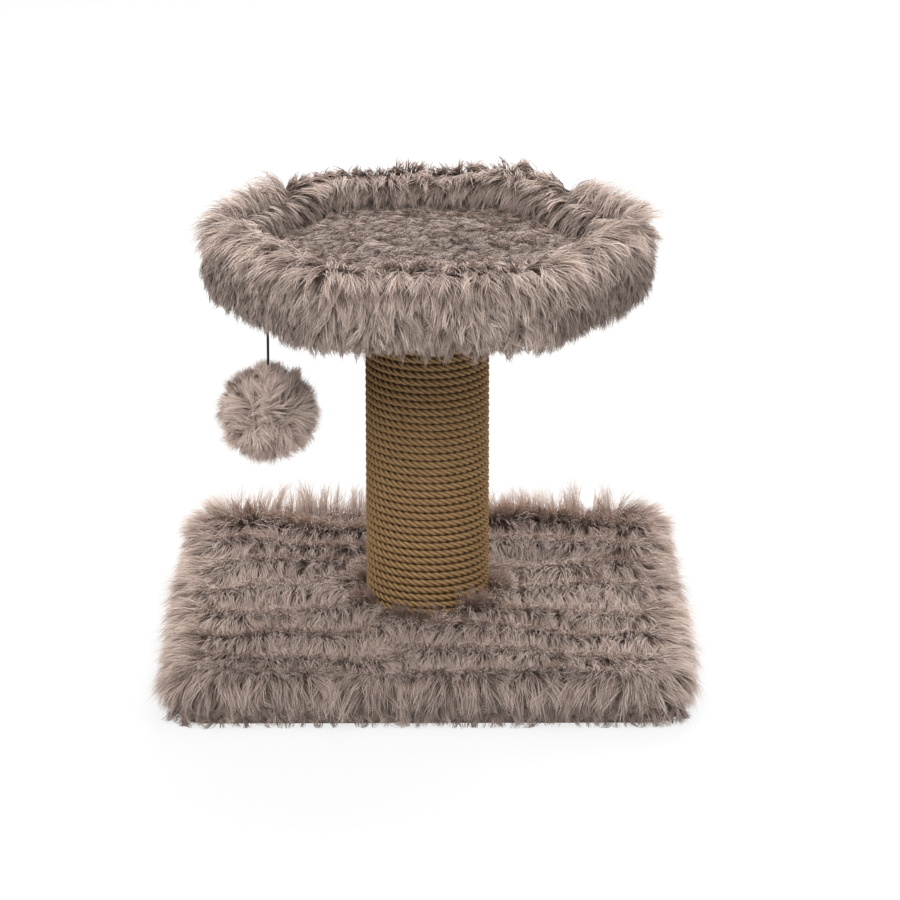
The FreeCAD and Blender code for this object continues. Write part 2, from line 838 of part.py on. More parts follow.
keep("toy_staple", toy_staple())
keep("toy_cord_loop", Part.makeTorus(toy_loop_radius, cord_radius, toy_point(0, loop_height), V(0, 1, 0)))
keep("toy_knot", upper_knot())
keep("toy_cord", cylinder(cord_radius, cord_bottom, cord_top - cord_bottom, toy_x, toy_y))
keep("pompom_cover", pompom_body())
keep("pompom_filling", pompom_filling())
keep("pompom_stop_knot", stop_knot())

print(f"toy: side pivot {toy_x:.2f} {toy_y:.2f} {crown_height:.2f}, front pivot at height {loop_foot:.2f}, "
      f"pompom at height {pompom_height:.2f}, cord {cord_top - cord_bottom:.2f} mm long from {cord_top:.2f}")
cushion_top = cushion_bottom + cushion_thickness
print(f"cushion top {cushion_top:.2f}, rim top {rim_top:.2f}, well inradius {cover_inner:.2f}")

os.makedirs("parts", exist_ok=True)
for name, shape in nodes.items():
    shape.exportStep(f"parts/{name}.step")
    print(f"{name}: {len(shape.Solids)} solids, valid {shape.isValid()}, {shape.Volume / 1000:.2f} cm3")
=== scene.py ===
# %% [markdown]
# # A cat scratcher with a bed, dressed in fur and rope
# The CAD frame already holds every board, bolt and joint at its real size. This lesson adds
# what a cat would feel: long plush on the base and the bed, a stuffed cushion, twisted rope on
# the post and a fur pompom on a cord. Every piece is made where the frame says, in metres,
# so nothing is moved or fitted afterwards.

# %% Load the frame
import json
import math

import bmesh
import bpy
import numpy as np
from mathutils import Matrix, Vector, kdtree, noise


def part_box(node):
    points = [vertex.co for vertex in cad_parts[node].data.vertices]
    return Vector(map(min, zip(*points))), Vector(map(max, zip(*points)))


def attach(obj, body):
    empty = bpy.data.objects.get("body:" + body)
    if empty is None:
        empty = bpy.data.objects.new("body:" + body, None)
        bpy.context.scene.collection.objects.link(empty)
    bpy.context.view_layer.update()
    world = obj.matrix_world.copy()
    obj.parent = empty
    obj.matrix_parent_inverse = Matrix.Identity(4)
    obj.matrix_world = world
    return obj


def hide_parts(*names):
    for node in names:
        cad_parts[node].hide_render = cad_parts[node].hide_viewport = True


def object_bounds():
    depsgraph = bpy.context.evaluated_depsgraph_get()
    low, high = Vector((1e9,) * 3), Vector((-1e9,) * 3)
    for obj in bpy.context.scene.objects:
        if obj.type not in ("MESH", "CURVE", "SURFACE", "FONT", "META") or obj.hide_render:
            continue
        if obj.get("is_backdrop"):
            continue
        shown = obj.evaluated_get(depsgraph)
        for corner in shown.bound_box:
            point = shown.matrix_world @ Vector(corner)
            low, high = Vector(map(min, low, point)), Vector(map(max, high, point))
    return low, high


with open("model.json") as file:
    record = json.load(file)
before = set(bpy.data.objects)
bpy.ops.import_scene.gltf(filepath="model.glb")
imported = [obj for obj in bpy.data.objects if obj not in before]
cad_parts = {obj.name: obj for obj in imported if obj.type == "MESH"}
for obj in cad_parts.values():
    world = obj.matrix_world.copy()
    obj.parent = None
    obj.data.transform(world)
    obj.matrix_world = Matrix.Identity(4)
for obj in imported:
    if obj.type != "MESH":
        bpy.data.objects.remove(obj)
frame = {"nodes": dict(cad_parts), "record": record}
nodes = frame["nodes"]
cad_low, cad_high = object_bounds()
scene = bpy.context.scene
rng = np.random.default_rng(7)
MM = 0.001
print("CAD box", [round(x, 4) for x in cad_high - cad_low])

# %% [markdown]
# ## Camera
# The photograph was taken from straight ahead and a little above, with a long lens, so the
# base looks nearly square. The camera could be placed by its angles, but a place and a point
# to look at are easier to read, and they are all that this picture needs.

# %% Camera
camera_place = Vector((0.0, -4.5, 1.705))
camera_target = Vector((0.0215, 0.0, 0.192))
camera_lens = 198.6
camera_sensor = 36.0


def aim(thing, place, target):
    """Puts a camera or a lamp in its place, turned to its target."""
    thing.location = place
    thing.rotation_euler = (Vector(target) - Vector(place)).to_track_quat("-Z", "Y").to_euler()
    scene.collection.objects.link(thing)


camera_data = bpy.data.cameras.new("camera")
camera_data.sensor_width = camera_sensor
camera_data.lens = camera_lens
camera = bpy.data.objects.new("camera", camera_data)
aim(camera, camera_place, camera_target)
scene.camera = camera
scene.view_settings.view_transform = "Standard"
print("camera distance", round((camera_target - camera_place).length, 3))

# %% [markdown]
# ## Floor and light
# A product picture is lit by big soft lamps above a pale floor. The floor is a wide plane that
# the camera sees as nearly white, while its own diffuse half still takes the soft shadow.
# Three area lamps and an even sky keep the light plain, so a colour renders about as written.
# The two in front stand well apart, or the bed's shadow would fall on the back of the base.

# %% Nodes for the floor
floor_reach = 30.0
floor_shade = (0.86, 0.86, 0.86, 1)
white = (1, 1, 1, 1)
white_share = 0.8


def join(tree, value, socket):
    """Sets a socket to a value, or links it from another node's socket."""
    if isinstance(value, bpy.types.NodeSocket):
        tree.links.new(value, socket)
    else:
        socket.default_value = value


def add(tree, kind, **inputs):
    """A new node, with its inputs given by name."""
    made = tree.nodes.new("ShaderNode" + kind)
    for name, value in inputs.items():
        join(tree, value, made.inputs[name.replace("_", " ")])
    return made


def calculate(tree, operation, *values):
    """The result of a Math node."""
    made = tree.nodes.new("ShaderNodeMath")
    made.operation = operation
    for value, socket in zip(values, made.inputs):
        join(tree, value, socket)
    return made.outputs[0]


def seen_directly(tree):
    """1 for rays from the camera, and for those that a mirror or glass sends on."""
    path = add(tree, "LightPath")
    total = path.outputs["Is Camera Ray"]
    for name in ("Is Glossy Ray", "Is Transmission Ray"):
        total = calculate(tree, "MAXIMUM", total, path.outputs[name])
    return total


def mix_shaders(tree, share, first, second):
    mixed = add(tree, "MixShader", Fac=share)
    join(tree, first.outputs[0], mixed.inputs[1])
    join(tree, second.outputs[0], mixed.inputs[2])
    return mixed.outputs[0]


def floor_material():
    made = bpy.data.materials.new("pale_floor")
    made.use_nodes = True
    tree = made.node_tree
    tree.nodes.clear()
    share = calculate(tree, "MULTIPLY", seen_directly(tree), white_share)
    matt = add(tree, "BsdfDiffuse", Color=floor_shade)
    glow = add(tree, "Emission", Color=white, Strength=1.0)
    add(tree, "OutputMaterial", Surface=mix_shaders(tree, share, matt, glow))
    return made


def new_object(name, bm):
    """A bmesh becomes an object in the scene."""
    mesh = bpy.data.meshes.new(name)
    bm.to_mesh(mesh)
    bm.free()
    made = bpy.data.objects.new(name, mesh)
    scene.collection.objects.link(made)
    return made


def lay_floor():
    bm = bmesh.new()
    bmesh.ops.create_grid(bm, x_segments=1, y_segments=1, size=floor_reach)
    made = new_object("floor", bm)
    made.data.materials.append(floor_material())
    made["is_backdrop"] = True


lay_floor()
print("floor reaches", floor_reach, "m each way")

# %% Sky and lamps
sky_strength = 0.45
lamp_target = (0, 0, 0.25)
lamps = {
    "left_lamp": {"place": (-1.3, -1.9, 2.4), "side": 1.6, "watts": 54.0},
    "right_lamp": {"place": (1.3, -1.9, 2.4), "side": 1.6, "watts": 32.0},
    "back_lamp": {"place": (0.5, 1.9, 2.3), "side": 1.8, "watts": 76.0},
}


def light_sky():
    sky = bpy.data.worlds.new("sky")
    scene.world = sky
    sky.use_nodes = True
    tree = sky.node_tree
    tree.nodes.clear()
    even = add(tree, "Background", Color=white, Strength=sky_strength)
    backdrop = add(tree, "Background", Color=white, Strength=1.0)
    add(tree, "OutputWorld", Surface=mix_shaders(tree, seen_directly(tree), even, backdrop))


def hang_lamp(name, place, side, watts):
    lamp = bpy.data.lights.new(name, "AREA")
    lamp.shape = "SQUARE"
    lamp.size = side
    lamp.energy = watts
    aim(bpy.data.objects.new(name, lamp), place, lamp_target)


light_sky()
for name, lamp in lamps.items():
    hang_lamp(name, **lamp)
print("lamps", len(lamps), "with", sum(lamp["watts"] for lamp in lamps.values()), "W")

# %% [markdown]
# ## Toy cord
# A thin black cord carries the pompom. Its weight pulls the cord straight, so the route is one
# run from the knot under the bed to the ball inside the fur. A NURBS curve with a round bevel
# is the natural way to make a cord: its line stays smooth and its length is known.

# %% Cord finish
def plain_material(name, roughness, specular=0.4, metallic=0.0):
    """A material with its shader, ready for nodes to feed."""
    made = bpy.data.materials.new(name)
    made.use_nodes = True
    shader = made.node_tree.nodes["Principled BSDF"]
    shader.inputs["Roughness"].default_value = roughness
    shader.inputs["Specular IOR Level"].default_value = specular
    shader.inputs["Metallic"].default_value = metallic
    return made, made.node_tree, shader


def ramp(tree, value, *stops):
    """Colours along a value: each stop is a position and a colour."""
    made = tree.nodes.new("ShaderNodeValToRGB")
    while len(made.color_ramp.elements) < len(stops):
        made.color_ramp.elements.new(1.0)
    for element, (position, colour) in zip(made.color_ramp.elements, stops):
        element.position = position
        element.color = (*colour, 1.0)
    join(tree, value, made.inputs["Fac"])
    return made.outputs["Color"]


def bump(tree, shader, height, strength, distance):
    made = add(tree, "Bump", Strength=strength, Distance=distance, Height=height)
    join(tree, made.outputs["Normal"], shader.inputs["Normal"])


def object_place(tree, scale=(1, 1, 1), turn=(0, 0, 0)):
    """Object coordinates, turned and scaled by a Mapping node."""
    where = add(tree, "TexCoord")
    made = add(tree, "Mapping", Vector=where.outputs["Object"], Scale=scale, Rotation=turn)
    return made.outputs["Vector"]


def grained(
    name, texture, colours, roughness, specular, relief, depth,
    metallic=0.0, output="Fac", stretch=(1, 1, 1), turn=(0, 0, 0), **settings,
):
    """A finish from one texture, which gives both its colours and its relief."""
    made, tree, shader = plain_material(name, roughness, specular, metallic)
    grain = add(tree, texture, Vector=object_place(tree, stretch, turn), **settings)
    colour = ramp(tree, grain.outputs[output], *colours)
    join(tree, colour, shader.inputs["Base Color"])
    bump(tree, shader, grain.outputs[output], relief, depth)
    return made


cord_finish = grained(
    "braided_cord", "TexWave", [(0.1, (0.008, 0.008, 0.009)), (0.9, (0.035, 0.034, 0.036))],
    roughness=0.62, specular=0.35, relief=0.5, depth=0.2 * MM,
    turn=(0.0, 0.9, 0.0), Scale=900.0, Distortion=1.5, Detail=1.0,
)
print("cord finish", cord_finish.name)

# %% Toy cord
cord_low, cord_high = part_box("toy_cord")
cord_x = (cord_low.x + cord_high.x) / 2
cord_y = (cord_low.y + cord_high.y) / 2
cord_diameter = cord_high.x - cord_low.x
cord_straight = 6 * cord_diameter
cord_route = [
    (cord_x, cord_y, cord_high.z),
    (cord_x, cord_y, cord_high.z - cord_straight),
    (cord_x, cord_y, cord_low.z + cord_straight),
    (cord_x, cord_y, cord_low.z),
]


def nurbs_curve(name, route):
    """A smooth open line that takes the route's points as its control points."""
    made = bpy.data.curves.new(name, "CURVE")
    made.dimensions = "3D"
    spline = made.splines.new("NURBS")
    spline.points.add(len(route) - 1)
    for point, place in zip(spline.points, route):
        point.co = (*place, 1.0)
    spline.order_u = 3
    spline.use_endpoint_u = True
    spline.resolution_u = 8
    return made


cord_curve = nurbs_curve("toy_cord_line", cord_route)
cord_curve.bevel_depth = cord_diameter / 2
cord_curve.bevel_resolution = 4
cord_curve.materials.append(cord_finish)
toy_cord = bpy.data.objects.new("toy_cord_line", cord_curve)
scene.collection.objects.link(toy_cord)
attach(toy_cord, "toy")
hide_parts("toy_cord")
print("cord length", round(cord_high.z - cord_low.z, 4))

# %% [markdown]
# ## Boards, tube, liner and metal
# These CAD pieces keep their shapes and only get a finish. Each finish is drawn by nodes on
# Object coordinates: chips for the particle board, rings for the plugs, a spiral seam for the
# cardboard tube, short matted fibres for the liners, and brushed zinc for the hardware. One
# texture can give colour and relief together; the first three finishes need two textures each.

# %% Finishes with two textures
def board_material():
    made, tree, shader = plain_material("particle_board_chips", 0.85, 0.2)
    chips = add(tree, "TexVoronoi", Vector=object_place(tree, (1, 1, 2.2)), Scale=420.0)
    tint = add(tree, "TexNoise", Vector=object_place(tree), Scale=60.0, Detail=4.0)
    even = ramp(tree, chips.outputs["Color"], (0.1, (0.34, 0.22, 0.12)), (0.9, (0.62, 0.46, 0.28)))
    mixed = add(tree, "MixRGB", Fac=tint.outputs["Fac"], Color1=even, Color2=(0.5, 0.36, 0.21, 1))
    join(tree, mixed.outputs[0], shader.inputs["Base Color"])
    bump(tree, shader, chips.outputs["Distance"], 0.3, 0.3 * MM)
    return made


def cardboard_material():
    made, tree, shader = plain_material("wound_cardboard", 0.9, 0.15)
    seams = add(tree, "TexWave", Vector=object_place(tree, (1, 1, 1), (0.5, 0, 0)), Scale=9.0)
    fibre = add(tree, "TexNoise", Vector=object_place(tree, (1, 1, 0.2)), Scale=700.0, Detail=3.0)
    colour = ramp(tree, fibre.outputs["Fac"], (0.3, (0.36, 0.25, 0.15)), (0.7, (0.5, 0.37, 0.24)))
    dark = add(tree, "MixRGB", Fac=seams.outputs["Fac"], Color1=colour, Color2=(0.4, 0.29, 0.18, 1))
    join(tree, dark.outputs[0], shader.inputs["Base Color"])
    bump(tree, shader, fibre.outputs["Fac"], 0.25, 0.15 * MM)
    return made


def liner_material():
    made, tree, shader = plain_material("matted_liner", 0.95, 0.12)
    fibre = add(tree, "TexNoise", Vector=object_place(tree, (1, 0.35, 1)), Scale=900.0, Detail=4.0)
    dots = add(tree, "TexVoronoi", Vector=object_place(tree), Scale=500.0)
    colour = ramp(tree, fibre.outputs["Fac"], (0.3, (0.012, 0.012, 0.014)), (0.75, (0.05, 0.05, 0.054)))
    join(tree, colour, shader.inputs["Base Color"])
    bump(tree, shader, dots.outputs["Distance"], 0.4, 0.2 * MM)
    return made


finishes = {
    "particle_board": board_material(),
    "cardboard": cardboard_material(),
    "liner": liner_material(),
    "cord": cord_finish,
}
print("finishes so far", len(finishes))

# %% Finishes with one texture
BRUSHED_SHADE = 0.8


def steel_finish(name, shade, roughness):
    """Metal brushed along its height, a little darker in the scratches."""
    low = tuple(BRUSHED_SHADE * x for x in shade)
    return grained(
        name, "TexNoise", [(0.3, low), (0.7, shade)],
        roughness=roughness, specular=0.5, metallic=1.0, relief=0.1, depth=0.05 * MM,
        stretch=(1, 1, 0.08), Scale=1500.0, Detail=3.0,
    )


finishes["plug_wood"] = grained(
    "turned_plug_wood", "TexWave", [(0.0, (0.42, 0.27, 0.14)), (1.0, (0.68, 0.5, 0.3))],
    roughness=0.7, specular=0.25, relief=0.2, depth=0.2 * MM,
    Scale=70.0, Distortion=4.0, Detail=3.0,
)
finishes["bolt_steel"] = steel_finish("zinc_bolt_steel", (0.62, 0.63, 0.65), 0.34)
finishes["staple_steel"] = steel_finish("bright_staple_steel", (0.7, 0.69, 0.66), 0.3)
finishes["foam"] = grained(
    "upholstery_foam", "TexVoronoi", [(0.1, (0.6, 0.52, 0.3)), (0.7, (0.86, 0.8, 0.58))],
    roughness=0.95, specular=0.1, relief=0.6, depth=0.4 * MM, output="Distance", Scale=800.0,
)
finishes["filling"] = grained(
    "fibre_filling", "TexNoise", [(0.3, (0.62, 0.61, 0.58)), (0.7, (0.9, 0.89, 0.86))],
    roughness=0.95, specular=0.1, relief=0.6, depth=0.6 * MM,
    Scale=350.0, Detail=6.0, Distortion=1.2,
)
dressed = 0
for row in frame["record"]["subparts"]:
    finish = finishes.get(row["material_slot"])
    if finish:
        mesh = nodes[row["node"]].data
        mesh.materials.clear()
        mesh.materials.append(finish)
        dressed += 1
print("CAD pieces dressed", dressed)

# %% [markdown]
# ## Fur, one tuft at a time
# Long plush is fine hair that sticks together in tufts. A particle system could grow it, but
# its hairs vanish when a model is exported, so here each strand is a thin tapering ribbon of
# real faces. A tuft has a root, the direction that the pile stands in, the direction that it
# is combed in, and a length. Its strands share that course, start a little apart, draw
# together towards the tip and differ in length. Shade is stored in the strand's own UV map:
# across it runs from dark to pale hair, and up it runs from the root to the tip.

# %% Fur finishes
def fur_material():
    made, tree, shader = plain_material("taupe_plush", 0.72, 0.22)
    shader.inputs["Sheen Weight"].default_value = 0.12
    shader.inputs["Sheen Roughness"].default_value = 0.5
    place = add(tree, "UVMap")
    place.uv_map = "OFBake"
    split = add(tree, "SeparateXYZ", Vector=place.outputs["UV"])
    dark = ramp(
        tree, split.outputs["Y"],
        (0.0, (0.13, 0.097, 0.083)), (0.35, (0.21, 0.158, 0.133)),
        (0.75, (0.30, 0.232, 0.198)), (1.0, (0.35, 0.273, 0.236)),
    )
    pale = ramp(
        tree, split.outputs["Y"],
        (0.0, (0.29, 0.22, 0.188)), (0.35, (0.55, 0.428, 0.368)),
        (0.75, (0.76, 0.615, 0.54)), (1.0, (0.86, 0.72, 0.64)),
    )
    mixed = add(tree, "MixRGB", Fac=split.outputs["X"], Color1=dark, Color2=pale)
    join(tree, mixed.outputs[0], shader.inputs["Base Color"])
    return made


fur = fur_material()
backing = grained(
    "plush_undercoat", "TexNoise", [(0.3, (0.13, 0.098, 0.083)), (0.7, (0.34, 0.26, 0.22))],
    roughness=0.95, specular=0.1, relief=0.8, depth=1.0 * MM, Scale=900.0, Detail=5.0,
)
print("fur finishes", fur.name, "and", backing.name)

# %% Strands of a tuft
STRAND_STEPS = 3
STRAND_LENGTHS = (0.68, 1.06)
STRAND_ANGLE = 0.13
TUFT_BEND = 0.2
LOCK_PULL = 0.7
PULL_CURVE = 1.5
floor_gap = 1 * MM


def unit(vectors):
    return vectors / np.maximum(np.linalg.norm(vectors, axis=-1, keepdims=True), 1e-9)


def strand_lines(tuft, per_tuft, spread, gather, splay):
    """Points along every strand, and which tuft it belongs to."""
    pick = np.repeat(np.arange(len(tuft["root"])), per_tuft)
    count = len(pick)
    normal, comb = tuft["normal"][pick], tuft["comb"][pick]
    side = np.cross(normal, comb)
    apart = rng.normal(size=(count, 2)) * spread
    start = comb * apart[:, :1] + side * apart[:, 1:]
    length = tuft["length"][pick] * rng.uniform(*STRAND_LENGTHS, count)
    lift = tuft["lift"][pick] + rng.normal(0, STRAND_ANGLE, count)
    fall = tuft["fall"][pick] + rng.normal(0, STRAND_ANGLE, count)
    bend = rng.normal(0, TUFT_BEND, len(tuft["root"]))[pick]
    stray = rng.normal(size=(count, 2)) * splay
    stray = side * (stray[:, :1] + bend[:, None]) + normal * stray[:, 1:]
    lines = [tuft["root"][pick] + start]
    for step in range(STRAND_STEPS):
        along = (step + 0.5) / STRAND_STEPS
        angle = lift + (fall - lift) * along
        way = comb * np.cos(angle)[:, None] + normal * np.sin(angle)[:, None] + stray * along
        lines.append(lines[-1] + unit(way) * (length / STRAND_STEPS)[:, None])
    lines = np.stack(lines, 1)
    along = np.linspace(0, 1, STRAND_STEPS + 1)[None, :, None]
    pull = LOCK_PULL * tuft["inwards"][pick] - gather * start
    lines += pull[:, None] * along ** PULL_CURVE
    lines[..., 2] -= tuft["droop"][pick, None] * length[:, None] * along[..., 0] ** 2
    lines[..., 2] = np.maximum(lines[..., 2], floor_gap)
    return lines, pick, side


print("points along a strand", STRAND_STEPS + 1)

# %% Ribbons along the strands
STRAND_TAPER = (1.0, 0.92, 0.62)
STRAND_WIDTHS = (0.7, 1.25)
STRAND_ROLL = 0.9
TONE_WIDTH = 0.004
MAP_MARGIN = 0.01
SOFT_SHADE = 0.38


def ribbon_pattern():
    """The corners of one ribbon's faces in order, and where each face starts among them."""
    quads = [[2 * k, 2 * k + 1, 2 * k + 3, 2 * k + 2] for k in range(STRAND_STEPS - 1)]
    tip = [2 * STRAND_STEPS - 2, 2 * STRAND_STEPS - 1, 2 * STRAND_STEPS]
    return np.concatenate([np.ravel(quads), tip]), 4 * np.arange(STRAND_STEPS)


def strand_map(mesh, pattern, tone):
    """The ribbons' own UV map: tone across, and root to tip upwards."""
    edge = np.append(np.tile([-1.0, 1.0], STRAND_STEPS), 0.0)
    rise = np.append(np.repeat(np.arange(STRAND_STEPS) / STRAND_STEPS, 2), 1.0)
    shade = np.clip(tone, 2 * MAP_MARGIN, 1 - 2 * MAP_MARGIN)
    u = shade[:, None] + edge[pattern] * TONE_WIDTH
    v = np.broadcast_to(MAP_MARGIN + (1 - 2 * MAP_MARGIN) * rise[pattern], u.shape)
    uv = mesh.uv_layers.new(name="OFBake")
    uv.uv.foreach_set("vector", np.stack([u, v], -1).astype(np.float32).ravel())


def strand_mesh(name, lines, side, skin, tone, width):
    """Tapered ribbons along the lines, shaded partly like the skin that they grow from."""
    count = len(lines)
    course = unit(lines[:, -1] - lines[:, 0])
    up = unit(np.cross(course, side))
    roll = rng.uniform(-STRAND_ROLL, STRAND_ROLL, count)[:, None]
    across = side * np.cos(roll) + up * np.sin(roll)
    breadth = width * rng.uniform(*STRAND_WIDTHS, count)
    half = across[:, None] * (breadth[:, None] * np.array(STRAND_TAPER) / 2)[..., None]
    pairs = np.stack([lines[:, :-1] + half, lines[:, :-1] - half], 2)
    corners = np.concatenate([pairs.reshape(count, -1, 3), lines[:, -1:]], 1)
    pattern, first = ribbon_pattern()
    per_strand = 2 * STRAND_STEPS + 1
    order = (pattern[None] + per_strand * np.arange(count)[:, None]).ravel()
    starts = (first[None] + len(pattern) * np.arange(count)[:, None]).ravel()
    mesh = bpy.data.meshes.new(name)
    mesh.vertices.add(count * per_strand)
    mesh.vertices.foreach_set("co", corners.astype(np.float32).ravel())
    mesh.loops.add(len(order))
    mesh.loops.foreach_set("vertex_index", order.astype(np.int32))
    mesh.polygons.add(len(starts))
    mesh.polygons.foreach_set("loop_start", starts.astype(np.int32))
    mesh.polygons.foreach_set("use_smooth", np.ones(len(starts), bool))
    mesh.update(calc_edges=True)
    strand_map(mesh, pattern, tone)
    soft = unit(SOFT_SHADE * skin + (1 - SOFT_SHADE) * np.cross(course, across))
    mesh.normals_split_custom_set_from_vertices(np.repeat(soft, per_strand, 0))
    return mesh


print("triangles in a strand", 2 * STRAND_STEPS - 1)

# %% Tufts into fur
LOCK_LENGTHS = (0.84, 1.12)
LOCK_TONE = 0.09
TOUSLED_LOCK_TONE = 0.35
TOUSLED_LIFT = 0.5
STRAND_TONE = 0.1
TOUSLED_STRAND_TONE = 0.3
fur_reach = cad_high.x + 16 * MM
fur_crest = cad_high.z + 18 * MM


def tufts(root, normal, comb, length, lift, fall, tone, droop):
    """What the fur needs to know of every tuft."""
    return {
        "root": root, "normal": normal, "comb": comb, "length": length,
        "lift": lift, "fall": fall, "tone": tone, "droop": np.full(len(root), droop),
    }


def part_of(tuft, keep):
    return {name: values[keep] for name, values in tuft.items()}


def swing(combs, normals, angles):
    """Combs turned about the normals."""
    side = np.cross(normals, combs)
    return combs * np.cos(angles)[:, None] + side * np.sin(angles)[:, None]


def mat_into_locks(tuft, share, tousle):
    """Neighbouring tufts mat into locks, which differ in length, tone and the way they lie."""
    root = tuft["root"]
    picks = rng.choice(len(root), max(1, len(root) // share), replace=False)
    tree = kdtree.KDTree(len(picks))
    for number, pick in enumerate(picks):
        tree.insert(root[pick], number)
    tree.balance()
    lock = np.array([tree.find(place)[1] for place in root])
    tone_spread = LOCK_TONE + TOUSLED_LOCK_TONE * tousle
    made = dict(tuft)
    made["inwards"] = root[picks][lock] - root
    made["length"] = tuft["length"] * rng.uniform(*LOCK_LENGTHS, len(picks))[lock]
    made["tone"] = tuft["tone"] + rng.normal(0, tone_spread, len(picks))[lock]
    made["lift"] = tuft["lift"] + rng.normal(0, TOUSLED_LIFT * tousle, len(picks))[lock]
    turn = rng.normal(0, tousle, len(picks))[lock]
    made["comb"] = swing(tuft["comb"], tuft["normal"], turn)
    return made


def settle(name, mesh, finish, body, slot, *stands_for):
    """A finished mesh becomes a piece that rides on a body and stands for CAD nodes."""
    made = bpy.data.objects.new(name, mesh)
    scene.collection.objects.link(made)
    mesh.materials.clear()
    mesh.materials.append(finish)
    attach(made, body)
    if stands_for:
        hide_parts(*stands_for)
    return made


def grow(
    name, tuft, body, stands_for=(), per_tuft=10, width=0.62 * MM, spread=2.0 * MM,
    gather=0.6, splay=0.16, share=5, tousle=0.15,
):
    """Fur from tufts. Strands that would leave the room around the CAD box aren't kept."""
    tuft = mat_into_locks(tuft, share, tousle)
    lines, pick, side = strand_lines(tuft, per_tuft, spread, gather, splay)
    kept = (np.abs(lines[..., :2]).max((1, 2)) < fur_reach) & (lines[..., 2].max(1) < fur_crest)
    lines, pick, side = lines[kept], pick[kept], side[kept]
    tone_spread = STRAND_TONE + TOUSLED_STRAND_TONE * tousle
    tone = tuft["tone"][pick] + rng.normal(0, tone_spread, len(pick))
    mesh = strand_mesh(name, lines, side, tuft["normal"][pick], tone, width)
    print(name, len(lines), "strands")
    return settle(name, mesh, fur, body, "plush", *stands_for)


print("fur reaches", round(fur_reach, 4), "sideways and", round(fur_crest, 4), "up")

# %% [markdown]
# ## Base coat
# The base is a board wrapped in plush whose pile lies forward in wavy tiers. The backing is a
# bevelled box, with its foot turned in and a well for the post, that a voxel remesh divides
# into even squares: each square roots one tuft. A hand-made grid would do too, but it would
# bunch at the corners. The comb runs to the front in the middle, outwards near the edges and
# down on the sides. The pile rises towards the back and stands up along the parting there.

# %% Base block
TUFT_PITCH = 4.4 * MM
side_pile = 17 * MM
top_pile = 9 * MM
base_low, base_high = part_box("base_plush_cover")
board_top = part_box("base_board")[1].z
base_half = base_high.x - side_pile
base_top = base_high.z - top_pile
base_corner = 26 * MM
base_edge = 16 * MM
base_foot = 6 * MM
post_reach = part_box("post_rope_lower")[1].x
post_clear = post_reach + 0.5 * MM


def shaped_mesh(made):
    """The mesh of an object with its modifiers applied. The object itself goes."""
    bpy.context.view_layer.update()
    ready = made.evaluated_get(bpy.context.evaluated_depsgraph_get())
    mesh = bpy.data.meshes.new_from_object(ready)
    bpy.data.objects.remove(made)
    return mesh


def even_squares(made, size):
    squares = made.modifiers.new("even_squares", "REMESH")
    squares.mode = "VOXEL"
    squares.voxel_size = size
    return shaped_mesh(made)


def round_edges(bm, edges, radius, segments):
    bmesh.ops.bevel(
        bm, geom=edges, offset=radius, offset_type="OFFSET", affect="EDGES",
        segments=segments, profile=0.5, material=-1,
    )


def base_block():
    bm = bmesh.new()
    bmesh.ops.create_cube(bm, size=1.0)
    bmesh.ops.scale(bm, verts=bm.verts, vec=(2 * base_half, 2 * base_half, base_top - base_low.z))
    bmesh.ops.translate(bm, verts=bm.verts, vec=(0, 0, (base_top + base_low.z) / 2))
    upright = [e for e in bm.edges if abs(e.verts[0].co.z - e.verts[1].co.z) > 1 * MM]
    round_edges(bm, upright, base_corner, 8)
    rim = [e for e in bm.edges if min(v.co.z for v in e.verts) > base_top - 1e-6]
    round_edges(bm, rim, base_edge, 5)
    foot = [e for e in bm.edges if max(v.co.z for v in e.verts) < base_low.z + 1e-6]
    round_edges(bm, foot, base_foot, 3)
    return new_object("base_backing", bm)


def post_drill():
    bm = bmesh.new()
    bmesh.ops.create_cone(
        bm, cap_ends=True, segments=64, radius1=post_clear, radius2=post_clear,
        depth=2 * (base_top - board_top),
    )
    bmesh.ops.translate(bm, verts=bm.verts, vec=(0, 0, base_top))
    return new_object("post_well", bm)


block, drill = base_block(), post_drill()
well = block.modifiers.new("post_well", "BOOLEAN")
well.object = drill
well.operation = "DIFFERENCE"
base_mesh = even_squares(block, TUFT_PITCH)
bpy.data.objects.remove(drill)
print("base backing faces", len(base_mesh.polygons))

# %% Tiers of the base
tier_pitch = 60.5 * MM
tier_height = 7 * MM
tier_lean = 1.4
tier_sway = 0.22
tier_wander = 0.3
sway_across = 0.33
sway_along = 0.41
first_valley = base_low.y + 45 * MM
level_border = 32 * MM
top_band = 4 * MM


def read(items, name, width=1, kind=np.float32):
    """One value of every vertex, corner or face, as an array."""
    values = np.empty(len(items) * width, kind)
    items.foreach_get(name, values)
    return values.reshape(-1, width) if width > 1 else values


def move_vertices(mesh, places):
    mesh.vertices.foreach_set("co", places.ravel())
    mesh.update()


def ease(values, low, high):
    """0 below low, 1 above high, smooth between."""
    t = np.clip((values - low) / (high - low), 0, 1)
    return t * t * (3 - 2 * t)


def wander(points, size, seed):
    """Smooth noise from about -1 to 1, with swells of that size."""
    shift = Vector((seed * 7.3, seed * 3.1, seed * 5.7))
    return np.array([noise.noise(Vector(p) / size + shift) for p in points])


